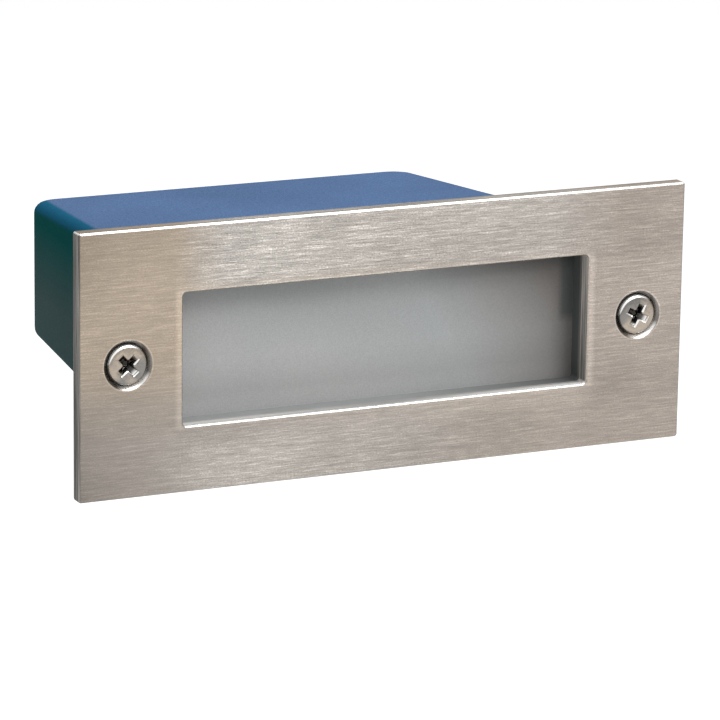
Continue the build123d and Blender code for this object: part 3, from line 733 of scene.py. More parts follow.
finishes["brass"] = worked_metal("turned_brass", (0.66, 0.48, 0.20), 0.28)
finishes["zinc_steel"] = worked_metal("zinc_plate", (0.58, 0.60, 0.62), 0.34, mark_size=0.8)
finishes["solder"] = worked_metal("soft_solder", (0.50, 0.50, 0.49), 0.38)
finishes["nickel_cap"] = worked_metal("cap_nickel", (0.62, 0.60, 0.56), 0.25)
finishes["tinned_copper"] = worked_metal("tinned_copper", (0.60, 0.58, 0.55), 0.32)
finishes["black_rubber"] = moulded("black_rubber", (0.018, 0.021, 0.021), 0.62, gloss=0.35)
finishes["white_nylon"] = moulded("natural_nylon", (0.72, 0.70, 0.64), 0.45)
finishes["grey_nylon"] = moulded("grey_nylon", (0.22, 0.225, 0.23), 0.48)
finishes["ceramic"] = moulded("glazed_ceramic", (0.76, 0.73, 0.66), 0.16, skin_size=2.5)
finishes["white_reflector"] = moulded("white_enamel", (0.80, 0.80, 0.78), 0.22, 1.2, mottle=0.12)
finishes["black_glass"] = moulded("vitrite", (0.02, 0.015, 0.03), 0.12)
finishes["brown_wire"] = moulded("brown_insulation", (0.12, 0.045, 0.02), 0.38)
finishes["blue_wire"] = moulded("blue_insulation", (0.02, 0.10, 0.42), 0.38)
finishes["green_wire"] = moulded("green_insulation", (0.05, 0.27, 0.05), 0.38)
finishes["filament"] = moulded("phosphor_coat", (0.82, 0.56, 0.14), 0.55)
print("finishes", len(finishes))

# %% [markdown]
# The gasket is dark grey silicone. Painted light makes what faces up paler, so the lip below the
# window is nearly as pale as the frosted pane at the left, and painted shade darkens it to the
# right, while the lip at its side stays nearly black. The lip's front edge is a little lighter and
# more brown.

# %% Silicone with painted light
silicone_dark = (0.10, 0.112, 0.108)
silicone_lit = (0.35, 0.36, 0.36)
silicone_lip = (0.225, 0.216, 0.204)
silicone_skin = 0.3
silicone_roughness = (0.34, 0.5)
faces_lit = (0.3, 0.8)
lit_patches = (0.3, 0.6, 0.8, 1.0)
shade_at_right = 0.42


def silicone_painted_light():
    material, tree, surface = new_finish("silicone_painted_light", Specular_IOR_Level=0.4)
    upward = facing_of(tree)[2]
    skin = grain(tree, silicone_skin, 3.0, 0.6)
    patches = remap(tree, skin, *lit_patches)
    # painted light on what faces up, in patches
    lit_share = product(tree, remap(tree, upward, *faces_lit), patches)
    bare = blend(tree, zone(tree, ("y", 1.6, 1.2)), silicone_dark, silicone_lip)
    # painted shade darkens that light towards the right
    lit_colour = shaded(tree, silicone_lit, zone(tree, ("x", 5, 50)), shade_at_right)
    tone = blend(tree, lit_share, bare, lit_colour)
    clothe(tree, surface, tone, spread(tree, skin, *silicone_roughness), skin, skin_relief)
    return material


finishes["grey_silicone"] = silicone_painted_light()
print("dusty silicone ready")

# %% [markdown]
# The face screws are nickel plated and worn. Painted reflections give their heads patches of light
# and dark, a painted glint shows where they face the top lamp, and painted shade darkens the cross
# inside, where light that enters is reflected many times and loses some each time. So the tone
# falls with the depth below the head's face, which is the distance along y in the model's frame.

# %% Worn nickel
nickel_reflection_light = (0.33, 0.285, 0.235)
nickel_reflection_dark = (0.19, 0.18, 0.168)
nickel_painted_glint = (0.92, 0.91, 0.89)
nickel_cloud = 7
nickel_cloud_span = (0.42, 0.58)
nickel_mark = 0.5
nickel_mark_tone = (0.85, 1.15)
nickel_roughness = (0.2, 0.34)
nickel_relief = 0.01
glint_span = (0.3, 0.42)
cross_reach = (3.8, 3.7)
cross_fall = (-3.75, -2.9)
cross_painted_shade = 0.12


def worn_nickel():
    material, tree, surface = new_finish("worn_nickel", Metallic=1.0)
    clouds = grain(tree, nickel_cloud)
    marks = grain(tree, nickel_mark, 4.0, 0.65)
    # painted reflection of the room, in patches
    tone = blend(tree, remap(tree, clouds, *nickel_cloud_span), nickel_reflection_dark, nickel_reflection_light)
    tone = scaled(tree, tone, spread(tree, marks, *nickel_mark_tone))
    # painted glint where the head faces the top lamp
    tone = blend(tree, remap(tree, towards_lamp(tree), *glint_span), tone, nickel_painted_glint)
    # painted shade inside the cross, darker with depth
    cross_shade_share = product(tree, round_screws(tree, cross_reach), zone(tree, ("y", *cross_fall)))
    tone = shaded(tree, tone, cross_shade_share, cross_painted_shade)
    shine = spread(tree, marks, *nickel_roughness)
    clothe(tree, surface, tone, shine, marks, nickel_relief)
    return material


finishes["nickel_screw"] = worn_nickel()
print("worn nickel ready")

# %% [markdown]
# The bulb is clear blown glass. It isn't perfectly even, so slow ripples in its roughness and in
# its relief bend what is seen through it a little.

# %% Clear glass
ripple_size = 7
ripple_roughness = (0.02, 0.06)
ripple_relief = 0.02


def clear_glass():
    material, tree, surface = new_finish(
        "clear_glass", Base_Color=(0.96, 0.97, 0.97, 1), IOR=1.5, Transmission_Weight=1.0
    )
    ripple = grain(tree, ripple_size, 1.0)
    tree.links.new(spread(tree, ripple, *ripple_roughness), surface.inputs["Roughness"])
    relief(tree, surface, ripple, ripple_relief)
    return material


finishes["clear_glass"] = clear_glass()
print("clear glass ready")

# %% [markdown]
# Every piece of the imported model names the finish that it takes, so a loop can dress them all.
# The meshes stay as they are: only what is in their material slots changes.

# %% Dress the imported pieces
slot_of = {part["node"]: part["material_slot"] for part in frame["record"]["subparts"]}
for name, piece in nodes.items():
    piece.data.materials.clear()
    piece.data.materials.append(finishes[slot_of[name]])
print("dressed", len(slot_of), "pieces")

# %% [markdown]
# # The pieces
# Most pieces of a light are turned, moulded round or cut from a rounded rectangle, so three ways
# of making a mesh cover nearly all of them: turn an outline about an axis, stack rounded
# rectangles one behind the other, and cut one mesh with another. They all take millimetres, in
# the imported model's frame, and read the place of the piece they stand for from that model. A
# turned piece starts at a spot, which also says which way its axis runs.

# %% Spots
AIMS = {
    "back": Matrix.Identity(4),
    "front": Matrix.Rotation(pi, 4, "X"),
    "right": Matrix.Rotation(-pi / 2, 4, "Z"),
}


def spot(x, y, z, aim="back", turn=0.0):
    """Where a turned piece starts, which way its axis runs and how many degrees it is turned."""
    return Matrix.Translation((x, y, z)) @ AIMS[aim] @ Matrix.Rotation(radians(turn), 4, "Y")


print("spots can aim", ", ".join(AIMS))

# %% [markdown]
# A new piece is built in millimetres and becomes an object in metres at the end. Smooth shading
# makes a turned side look round although it has only so many faces, and edges that bend by more
# than an angle are kept sharp.

# %% Objects from meshes
SHARP_ANGLE = 35.0


def sharpen(data, crease=SHARP_ANGLE):
    """Smooth shading everywhere except at edges sharper than the crease, in degrees."""
    data.shade_smooth()
    data.set_sharp_from_angle(angle=radians(crease))


def shown(name, mesh):
    """An object from a mesh in millimetres."""
    bmesh.ops.recalc_face_normals(mesh, faces=mesh.faces)
    bmesh.ops.scale(mesh, vec=(MM, MM, MM), verts=mesh.verts)
    data = bpy.data.meshes.new(name)
    mesh.to_mesh(data)
    mesh.free()
    sharpen(data)
    return placed(name, data)


def bridge(mesh, first, second):
    """Faces between two rings of vertices, either of which may be a single point."""
    count = max(len(first), len(second))
    if count == 1:
        return
    for step in range(count):
        after = (step + 1) % count
        corners = [first[step % len(first)], first[after % len(first)]]
        corners += [second[after % len(second)], second[step % len(second)]]
        mesh.faces.new(list(dict.fromkeys(corners)))


print("edges stay sharp above", SHARP_ANGLE, "degrees")


# %% Turned meshes
def turned(name, outline, spots, steps=48, shape=None):
    """A mesh turned from (distance, radius) points, once at each spot, and closed on itself."""
    mesh = bmesh.new()
    for place in spots:
        rings = []
        for distance, radius in outline:
            ring = []
            for step in range(steps if radius else 1):
                angle = tau * step / steps
                reach = shape(angle, distance, radius) if shape and radius else radius
                point = place @ Vector((reach * cos(angle), distance, reach * sin(angle)))
                ring.append(mesh.verts.new(point))
            rings.append(ring)
        ends = rings[1:] + rings[:1] if outline[0][1] else rings[1:]
        for first, second in zip(rings, ends):
            bridge(mesh, first, second)
    return shown(name, mesh)


print("turned meshes ready")


# %% Stacked meshes
def rounded_loop(width, height, corner, depth, corner_steps=8):
    """Points round a rounded rectangle that is square to the wall, at that depth."""
    points = []
    for turn in range(4):
        side, rise = (1, -1, -1, 1)[turn], (1, 1, -1, -1)[turn]
        for step in range(corner_steps + 1):
            angle = tau * (turn + step / corner_steps) / 4
            x = side * (width / 2 - corner) + corner * cos(angle)
            z = rise * (height / 2 - corner) + corner * sin(angle)
            points.append((x, depth, z))
    return points


def stacked(name, loops, hollow=False, middle=(0, 0)):
    """A mesh through rounded rectangles in turn: capped at its ends, or closed on itself."""
    mesh = bmesh.new()
    shift = Vector((middle[0], 0, middle[1]))
    rings = []
    for loop in loops:
        rings.append([mesh.verts.new(Vector(point) + shift) for point in rounded_loop(*loop)])
    for first, second in zip(rings, rings[1:] + rings[:1] if hollow else rings[1:]):
        bridge(mesh, first, second)
    if not hollow:
        mesh.faces.new(rings[0])
        mesh.faces.new(rings[-1])
    return shown(name, mesh)


print("stacked meshes ready")

# %% [markdown]
# Holes and slots are cut with a Boolean modifier and small edges are rounded with a bevel one.
# Both are applied at once, so that what is shown is the piece's own mesh.

# %% Cutting and rounding
def settle(piece):
    """Applies a piece's modifiers, so that what is seen is its own mesh."""
    bpy.context.view_layer.update()
    graph = bpy.context.evaluated_depsgraph_get()
    made = bpy.data.meshes.new_from_object(piece.evaluated_get(graph))
    piece.modifiers.clear()
    piece.data = made
    sharpen(made)


def cut(piece, *cutters):
    """Takes the cutters' shapes out of a piece."""
    for cutter in cutters:
        modifier = piece.modifiers.new("cut", "BOOLEAN")
        modifier.object = cutter
        modifier.solver = "EXACT"
    settle(piece)
    for cutter in cutters:
        bpy.data.objects.remove(cutter)


def soften(piece, width, segments=2, crease=SHARP_ANGLE):
    """Rounds every edge sharper than the crease by that width, in millimetres."""
    modifier = piece.modifiers.new("soften", "BEVEL")
    modifier.width = width * MM
    modifier.segments = segments
    modifier.limit_method = "ANGLE"
    modifier.angle_limit = radians(crease)
    settle(piece)


def bar_cutter(place, mouth, floor, depth):
    """A cutter that narrows from (length, width) at a spot to another size at a depth."""
    mesh = bmesh.new()
    rings = []
    for (length, width), distance in ((mouth, -depth), (mouth, 0.0), (floor, depth)):
        corners = [(-1, -1), (1, -1), (1, 1), (-1, 1)]
        points = [Vector((x * length / 2, distance, z * width / 2)) for x, z in corners]
        rings.append([mesh.verts.new(place @ point) for point in points])
    for first, second in zip(rings, rings[1:]):
        bridge(mesh, first, second)
    mesh.faces.new(rings[0])
    mesh.faces.new(rings[-1])
    return shown("cutter", mesh)


print("cutting and rounding ready")

# %% [markdown]
# A new piece stands for a packed one: it takes that piece's finish, moves with the same body, and
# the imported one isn't shown any more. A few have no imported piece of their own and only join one.
# The modifier evens the shading, so that large flat faces beside small round ones stay flat.

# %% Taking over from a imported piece
def merged(name, pieces):
    """One mesh out of several that belong together."""
    mesh = bmesh.new()
    for piece in pieces:
        mesh.from_mesh(piece.data)
        bpy.data.objects.remove(piece)
    bmesh.ops.scale(mesh, vec=(1 / MM, 1 / MM, 1 / MM), verts=mesh.verts)
    return shown(name, mesh)


def joins(piece, node):
    """Gives a new piece the finish and the body of a packed one, beside it."""
    piece.data.materials.clear()
    piece.data.materials.append(finishes[slot_of[node]])
    even = piece.modifiers.new("even_shading", "WEIGHTED_NORMAL")
    even.keep_sharp = True
    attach(piece, nodes[node]["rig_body"])
    print(piece.name, "faces", len(piece.data.polygons))


def takes_over(piece, node):
    """Lets a new piece stand for a packed one, which isn't shown any more."""
    joins(piece, node)
    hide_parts(node)


print("packed pieces can be replaced")

# %% [markdown]
# Threads, knurls and hexagons are turned shapes whose radius changes with the angle. A thread's
# groove climbs one pitch a turn, so its depth follows the distance less the share of a turn. A
# hexagon is a circle cut off by six flats: where the outline is chamfered the circle is inside
# the flats, which gives the curved corners of a real nut.

# %% Radius rules
RADIUS_SLACK = 0.001


def saw(value):
    """Falls from 1 to 0 and climbs back to 1 as the value grows by one."""
    return abs(2 * (value % 1) - 1)


def thread(nominal, pitch, depth):
    """A sharp thread cut into the surface of that radius."""
    def shape(angle, distance, radius):
        if abs(radius - nominal) > RADIUS_SLACK:
            return radius
        return radius - depth * saw(distance / pitch - angle / tau)
    return shape


def rolled(nominal, pitch, depth):
    """A round thread, as rolled into a lamp's cap."""
    def shape(angle, distance, radius):
        if abs(radius - nominal) > RADIUS_SLACK:
            return radius
        return radius - depth * sin(pi * (distance / pitch - angle / tau)) ** 2
    return shape


def ribbed(nominal, count, depth):
    """Straight ribs round the surface of that radius."""
    def shape(angle, distance, radius):
        if abs(radius - nominal) > RADIUS_SLACK:
            return radius
        return radius - depth * saw(count * angle / tau)
    return shape


def hexagon(flats):
    """Six flats, with a corner along the piece's own x."""
    return lambda angle, distance, radius: min(radius, flats / 2 / cos(angle % (pi / 3) - pi / 6))


def together(*rules):
    """Several rules, one after the other."""
    def shape(angle, distance, radius):
        for rule in rules:
            radius = rule(angle, distance, radius)
        return radius
    return shape


print("radius rules ready")

# %% [markdown]
# An outline is a list of (distance along the axis, radius) points. Straight threaded stretches need
# many of them, rounded edges a few on an arc, and a flat ring is four arcs.

# %% Outline helpers
def rows(start, end, radius, step):
    """Outline points along a straight stretch, at most a step apart."""
    count = max(1, ceil(abs(end - start) / step))
    return [(start + (end - start) * index / count, radius) for index in range(count + 1)]


def arc(centre, radius, start, end, steps=5):
    """Outline points on an arc: 0 degrees points away from the axis and 90 along it."""
    angles = [radians(start + (end - start) * step / steps) for step in range(steps + 1)]
    return [(centre[0] + radius * sin(angle), centre[1] + radius * cos(angle)) for angle in angles]


def ring(inner, outer, thickness, edge):
    """The outline of a flat ring with rounded edges, its front at distance 0."""
    corners = [(edge, outer - edge, -90), (thickness - edge, outer - edge, 0)]
    corners += [(thickness - edge, inner + edge, 90), (edge, inner + edge, 180)]
    outline = []
    for distance, radius, start in corners:
        outline += arc((distance, radius), edge, start, start + 90, 3)
    return outline


print("outline helpers ready")

# %% [markdown]
# ## Face plate
# The plate is steel, 4 mm thick. Its front edges are bevelled at half a right angle, and the
# bevels catch the light from above as a white line over the plate and under the window. The screw
# recesses taper towards the heads. A bevel modifier would round every edge alike, so the plate is
# stacked as one closed ring of loops from its back round its outer edge to the window, and then
# the pocket behind it and the recesses are cut out.

# %% Ring of the plate
plate_corner = 0.8
plate_bevel = 0.52
smallest_corner = 0.3
window_size = (114.0, 34.4)
window_corner = 1.1
window_bevel = 0.45
bevel_softness = 0.16
bevel_corner = 0.05
back_edge_round = 0.3
plate_low, plate_high = edges_of("face_plate")
plate_size = (plate_high.x - plate_low.x, plate_high.z - plate_low.z)


def grown(size, width):
    """A (width, height) that is larger all round by a width."""
    return [side + 2 * width for side in size]


def bevel_points(width):
    """Offsets (back, inwards) across a bevel from the side to the face, its corners softened."""
    points = [(width + bevel_softness, 0.0), (width, bevel_corner)]
    points.append((width - bevel_softness, bevel_softness * 0.9))
    return points + [(inset, back) for back, inset in points[::-1]]


def plate_ring():
    """The plate's outer edge, face and window edge as one closed stack of loops."""
    loops = [(*grown(plate_size, -back_edge_round), plate_corner, 0)]
    loops.append((*plate_size, plate_corner, -back_edge_round))
    for back, inset in bevel_points(plate_bevel):
        corner = max(plate_corner - inset, smallest_corner)
        loops.append((*grown(plate_size, -inset), corner, plate_low.y + back))
    for grow, back in bevel_points(window_bevel):
        loops.append((*grown(window_size, grow), window_corner + grow, plate_low.y + back))
    loops.append((*window_size, window_corner, -back_edge_round))
    loops.append((*grown(window_size, back_edge_round), window_corner + back_edge_round, 0))
    return stacked("brushed_plate", loops, hollow=True)


print("plate", [round(side, 1) for side in plate_size], "mm, window", window_size)

# %% Pocket behind the plate
BOTH_SIDES = (-1, 1)
CUT_PAST = 1.0
plate_rim = 2.5
window_collar = 2.5
pocket_depth = 2.0
pad_radius = 8.0
pad_past = (0.5, 1.5)


def at_both_screws(depth):
    """Spots on the axes of the two face screws, at that depth."""
    return [spot(side * screw_x, depth, 0) for side in BOTH_SIDES]


def pocket_cutter():
    """What is milled out behind the plate: all but its rim, the window's collar and the pads."""
    outer = (*grown(plate_size, -plate_rim), plate_corner)
    inner = (*grown(window_size, window_collar), window_corner + window_collar)
    loops = [(*outer, -pocket_depth), (*outer, CUT_PAST)]
    loops += [(*inner, CUT_PAST), (*inner, -pocket_depth)]
    cutter = stacked("pocket", loops, hollow=True)
    pad_length = pocket_depth + sum(pad_past)
    pad = [(0, 0), (0, pad_radius), (pad_length, pad_radius), (pad_length, 0)]
    pad_front = -pocket_depth - pad_past[0]
    cut(cutter, turned("pads", pad, at_both_screws(pad_front)))
    return cutter


print("pocket", pocket_depth, "mm deep")

# %% Recesses for the screws
recess_mouth = 6.5
recess_lip = ((-CUT_PAST, 0.12), (0.0, 0.12), (0.04, 0.02), (0.12, -0.06))
recess_floor = 5.62
recess_taper = 1.0
recess_depth = 1.8
screw_hole_radius = 2.75
retainer_hole_radius = 4.9
retainer_thickness = 0.9
recess_steps = 72


def recess_cutter():
    """A head's recess with a tapered mouth, the shank's hole and the retainer's seat."""
    thickness = -plate_low.y
    seat = thickness - retainer_thickness
    end = thickness + CUT_PAST
    outline = [(-CUT_PAST, 0)]
    outline += [(distance, recess_mouth + wider) for distance, wider in recess_lip]
    outline += [(recess_taper, recess_floor)]
    outline += [(recess_depth, recess_floor), (recess_depth, screw_hole_radius)]
    outline += [(seat, screw_hole_radius), (seat, retainer_hole_radius)]
    outline += [(end, retainer_hole_radius), (end, 0)]
    return turned("recesses", outline, at_both_screws(plate_low.y), recess_steps)


print("recesses", 2 * recess_floor, "mm across at the heads")


# %% Face plate
def face_plate():
    piece = plate_ring()
    cut(piece, pocket_cutter())
    cut(piece, recess_cutter())
    takes_over(piece, "face_plate")


face_plate()

# %% [markdown]
# ## Face screws
# Each plate screw has a flat round head with a broad worn bevel, a cross recess and an M5 thread.
# The head is turned and the thread is its shank's radius rule. The cross is cut by two tapered
# bars, because a screwdriver's blades taper, with a wider shallow cut first that leaves the worn
# rim, and a small square funnel set on its corner makes the star at the middle. The two screws
# stopped at different angles.

# %% Head and shank
head_back = -2.6
head_sunk = 0.25
head_dome = 0.3
head_bevel = 1.1
head_bevel_arc = (-70, 0)
shank_radius = 2.45
shank_neck = 1.0
shank_tip = 1.4
tip_steps = ((0.4, 0.7), (0.0, 1.1))
face_screw_pitch = 0.8
face_thread_depth = 0.42


def dome_points(radius, height, reach, steps=4):
    """Outline points of a shallow dome from its middle out to that reach."""
    sphere = (radius**2 + height**2) / (2 * height)
    points = []
    for step in range(steps + 1):
        out = reach * step / steps
        points.append((sphere - (sphere**2 - out**2) ** 0.5, out))
    return points


def screw_blank(name, low, high, place):
    """A face screw without its cross, turned at that place."""
    front = low.y + head_sunk
    radius = (high.x - low.x) / 2
    length = high.y - front
    thickness = head_back - front
    outline = dome_points(radius, head_dome, radius - head_bevel)
    fall = outline[-1][0] + head_bevel
    outline += arc((fall, radius - head_bevel), head_bevel, *head_bevel_arc)
    outline += [(thickness, radius), (thickness, shank_radius)]
    thread_start = thickness + shank_neck
    outline += rows(thread_start, length - shank_tip, shank_radius, face_screw_pitch / 6)
    outline += [(length - before, shank_radius - thinner) for before, thinner in tip_steps]
    outline.append((length, 0.0))
    rule = thread(shank_radius, face_screw_pitch, face_thread_depth)
    return turned(name, outline, [place], 64, rule)


print("face screw pitch", face_screw_pitch, "mm")

# %% Cross recess
CROSS_BARS = (0, 90)
cross_rim = (7.0, 2.45)
cross_rim_floor = (6.2, 1.55)
cross_rim_depth = 0.42
cross_mouth = (6.4, 1.7)
cross_floor = (3.0, 1.0)
cross_depth = 2.0
star_turn = 45
star_mouth = (3.1, 3.1)
star_floor = (1.2, 1.2)
star_depth = 2.5
cross_edge = 0.06
cross_edge_crease = 30.0


def cut_cross(piece, x, front, z, turn):
    """Cuts the cross into a head: its worn rim first, then the bars, then the star."""
    for bar in CROSS_BARS:
        place = spot(x, front, z, turn=turn + bar)
        cut(piece, bar_cutter(place, cross_rim, cross_rim_floor, cross_rim_depth))
    for bar in CROSS_BARS:
        place = spot(x, front, z, turn=turn + bar)
        cut(piece, bar_cutter(place, cross_mouth, cross_floor, cross_depth))
    place = spot(x, front, z, turn=turn + star_turn)
    cut(piece, bar_cutter(place, star_mouth, star_floor, star_depth))
    soften(piece, cross_edge, 1, cross_edge_crease)


print("cross", cross_mouth[0], "mm across")

# %% Face screws
cross_turns = {"left": -42.0, "right": -62.0}


def face_screw(side, turn):
    node = "face_screw_" + side
    low, high = edges_of(node)
    x, _, z = middle_of(node)
    front = low.y + head_sunk
    piece = screw_blank("cross_head_screw_" + side, low, high, spot(x, front, z))
    cut_cross(piece, x, front, z, turn)
    takes_over(piece, node)


for side, turn in cross_turns.items():
    face_screw(side, turn)

# %% [markdown]
# A black rubber ring fills the floor of each screw's recess, and behind the plate a nylon ring
# grips the shank, so that the screw can't fall out. Both are turned with rounded edges, and the
# retainer's bore has six small teeth.

# %% Rings on the screws
seal_radius = 5.55
seal_bore = 2.6
seal_thickness = 0.4
seal_edge = 0.12
retainer_radius = 4.6
retainer_bore = 2.6
retainer_edge = 0.15
retainer_teeth = 6
tooth_height = 0.35
tooth_reach = 0.6


def toothed(angle, distance, radius):
    """Teeth on the bore only."""
    if radius > retainer_bore + tooth_reach:
        return radius
    return radius + tooth_height * saw(retainer_teeth * angle / tau) ** 2


def screw_seals():
    front = edges_of("screw_seals")[0].y
    places = at_both_screws(front)
    outline = ring(seal_bore, seal_radius, seal_thickness, seal_edge)
    takes_over(turned("recess_seals", outline, places), "screw_seals")


def screw_retainers():
    places = at_both_screws(-retainer_thickness)
    outline = ring(retainer_bore, retainer_radius, retainer_thickness, retainer_edge)
    takes_over(turned("toothed_retainers", outline, places, 48, toothed), "screw_retainers")


screw_seals()
screw_retainers()

# %% [markdown]
# ## Window glass and its gasket
# The pane's edges are ground to a small arris. The gasket round it is moulded silicone: its front
# lip lines the window, and outside it has two sealing ribs that press on the housing's mouth. In
# the window's upper right corner a tab of the gasket lies behind the glass, by which the two are
# pulled out, and it shows through the frosting as a dark patch. All three are stacks of rounded
# rectangles: a solid one for the pane and the tab, and for the gasket a ring closed on itself.

# %% Window pane
glass_arris = 0.35


def window_pane():
    low, high = edges_of("diffuser_glass")
    size = (high - low).xz
    ground = (*grown(size, -glass_arris), window_corner - glass_arris)
    loops = [(*ground, low.y), (*size, window_corner, low.y + glass_arris)]
    loops += [(*size, window_corner, high.y - glass_arris), (*ground, high.y)]
    takes_over(stacked("window_pane", loops), "diffuser_glass")


window_pane()

# %% Window gasket
lip_round = 0.3
rib_height = 0.25
rib_places = (2.2, 6.8)
rib_profile = ((-0.9, 0.0), (-0.3, rib_height), (0.3, rib_height), (0.9, 0.0))
gasket_corner = 4.0
gasket_opening = (114.6, 34.9)
gasket_back_opening = (113.0, 33.0)
glass_clearance = 0.08
tab_size = (4.0, 15.0)
tab_corner = 0.8
tab_round = 0.2
tab_thickness = 1.2


def window_gasket():
    low, high = edges_of("glass_gasket")
    glass_low, glass_high = edges_of("diffuser_glass")
    body = grown((high - low).xz, -rib_height)
    groove = grown((glass_high - glass_low).xz, glass_clearance)
    loops = []

    def loop(size, grow, corner, depth):
        loops.append((*grown(size, grow), corner + grow, depth))

    loop(body, -lip_round, gasket_corner, low.y)
    loop(body, 0, gasket_corner, low.y + lip_round)
    for place in rib_places:
        for offset, grow in rib_profile:
            loop(body, grow, gasket_corner, place + offset)
    loop(body, 0, gasket_corner, high.y - lip_round)
    loop(body, -lip_round, gasket_corner, high.y)
    loop(gasket_back_opening, lip_round, window_corner, high.y)
    loop(gasket_back_opening, 0, window_corner, high.y - lip_round)
    loop(gasket_back_opening, 0, window_corner, glass_high.y)
    loop(groove, 0, window_corner, glass_high.y)
    loop(groove, 0, window_corner, glass_low.y)
    loop(gasket_opening, 0, window_corner, glass_low.y)
    loop(gasket_opening, 0, window_corner, low.y + lip_round)
    loop(gasket_opening, lip_round, window_corner, low.y)
    takes_over(stacked("window_gasket", loops, hollow=True), "glass_gasket")


def pull_tab():
    glass_back = edges_of("diffuser_glass")[1].y
    middle = [(opening - side) / 2 for opening, side in zip(gasket_back_opening, tab_size)]
    tab_back = glass_back + tab_thickness
    loops = [(*tab_size, tab_corner, glass_back), (*tab_size, tab_corner, tab_back - tab_round)]
    loops.append((*grown(tab_size, -tab_round), tab_corner - tab_round, tab_back))
    joins(stacked("gasket_pull_tab", loops, middle=middle), "glass_gasket")


window_gasket()
pull_tab()

# %% [markdown]
# ## Brass inserts
# The face screws bite into two brass inserts moulded into the housing. Their outside is knurled in
# two bands so that they can't turn in the plastic, with a plain groove between. The knurls stand
# out from the side, so they are real ribs on a turned shape and not a pattern in its finish.

# %% Brass inserts
insert_bore = 2.53
insert_chamfer = 0.4
insert_groove = 0.45
groove_span = (4.5, 5.5)
insert_end_chamfer = 0.2
knurl_start = 0.9
knurl_slope = 0.3
knurl_count = 40
knurl_depth = 0.22


def knurled_inserts():
    low, high = edges_of("brass_inserts")
    radius = (high.z - low.z) / 2
    length = high.y - low.y
    waist = radius - insert_groove
    band_end = length - knurl_start
    outline = [(0, insert_bore + insert_chamfer), (0, waist), (knurl_start - knurl_slope, waist)]
    outline += rows(knurl_start, groove_span[0] - knurl_slope, radius, 1.0)
    outline += [(place, waist) for place in groove_span]
    outline += rows(groove_span[1] + knurl_slope, band_end, radius, 1.0)
    outline += [(band_end + knurl_slope, waist), (length, waist - insert_end_chamfer)]
    outline += [(length, insert_bore + insert_chamfer), (length - insert_chamfer, insert_bore)]
    outline += [(insert_chamfer, insert_bore)]
    places = at_both_screws(low.y)
    rule = ribbed(radius, knurl_count, knurl_depth)
    piece = turned("knurled_inserts", outline, places, 4 * knurl_count, rule)
    takes_over(piece, "brass_inserts")


knurled_inserts()

# %% [markdown]
# ## Cable gland and blanking plug
# The cable comes in at the back through an M16 gland: a threaded body with a hexagon, a rubber
# seal in its barrel and a domed nut that squeezes the seal onto the cable. The second entry is
# closed by a plug with a coin slot and a ribbed rim. Each has a rubber washer outside and a locknut
# inside. All are turned outlines, and one rule for the thread and one for the hexagon serve them.

# %% Entry threads and hexagons
entry_pitch = 1.5
entry_thread_depth = 0.75
entry_radius = 7.9
entry_plain_radius = 7.85
entry_tip = ((0.0, 0.9), (0.5, 0.2))
entry_thread_start = 0.8
entry_thread_runout = 0.2
spanner_flats = 22.0
hexagon_corner = spanner_flats / 2 / cos(pi / 6)
hexagon_chamfer = 1.1
hexagon_chamfer_length = 0.5
entry_steps = 72
shank_front = edges_of("gland_body")[0].y
entry_wall_back = edges_of("gland_washer")[0].y
entry_washer_back = edges_of("gland_washer")[1].y
gland_x = middle_of("gland_body").x
plug_x = middle_of("blanking_plug").x


def entry_shank():
    """Outline of the threaded shank through the housing's back, from its inner end."""
    wall = entry_wall_back - shank_front
    outline = [(distance, entry_radius - thinner) for distance, thinner in entry_tip]
    thread_end = wall - entry_thread_runout
    outline += rows(entry_thread_start, thread_end, entry_radius, entry_pitch / 6)
    outline += [(wall + entry_thread_runout, entry_plain_radius)]
    return outline + [(entry_washer_back - shank_front, entry_plain_radius)]


def hexagon_block(start, end):
    """Outline of a hexagon with chamfered corners between two distances."""
    inner = hexagon_corner - hexagon_chamfer
    outline = [(start, inner), (start + hexagon_chamfer_length, hexagon_corner)]
    return outline + [(end - hexagon_chamfer_length, hexagon_corner), (end, inner)]


print("gland at x", round(gland_x, 1), "plug at x", round(plug_x, 1), "mm")


# %% Gland body
gland_barrel_radius = 8.2
gland_barrel_lead = 0.6
gland_barrel_foot = 0.4
gland_thread_depth = 0.5
gland_gap = 0.3
gland_mouth_chamfer = (0.3, 0.2)
gland_seat_radius = 6.28
gland_bore_radius = 5.0
entry_rule = together(
    thread(entry_radius, entry_pitch, entry_thread_depth),
    thread(gland_barrel_radius, entry_pitch, gland_thread_depth),
    hexagon(spanner_flats),
)


def gland_body():
    low, high = edges_of("gland_body")
    seat = edges_of("gland_seal")[0].y - low.y
    flange = entry_washer_back - low.y
    flange_end = edges_of("gland_nut")[0].y - gland_gap - low.y
    length = high.y - low.y
    lead = gland_barrel_lead
    mouth_length, mouth_width = gland_mouth_chamfer
    outline = entry_shank() + hexagon_block(flange, flange_end)
    outline += [(flange_end, gland_barrel_radius - gland_barrel_foot)]
    outline += rows(flange_end + lead, length - lead, gland_barrel_radius, entry_pitch / 6)
    outline += [(length, gland_barrel_radius - lead), (length, gland_seat_radius + mouth_width)]
    outline += [(length - mouth_length, gland_seat_radius), (seat, gland_seat_radius)]
    outline += [(seat, gland_bore_radius), (0, gland_bore_radius)]
    places = [spot(gland_x, low.y, 0)]
    piece = turned("gland_body_threaded", outline, places, entry_steps, entry_rule)
    takes_over(piece, "gland_body")


gland_body()

# %% Gland seal
gland_seal_bore = 3.5
gland_seal_edge = 0.3


def gland_seal():
    low, high = edges_of("gland_seal")
    outline = ring(gland_seal_bore, (high.z - low.z) / 2, high.y - low.y, gland_seal_edge)
    takes_over(turned("gland_seal_ring", outline, [spot(gland_x, low.y, 0)]), "gland_seal")


gland_seal()

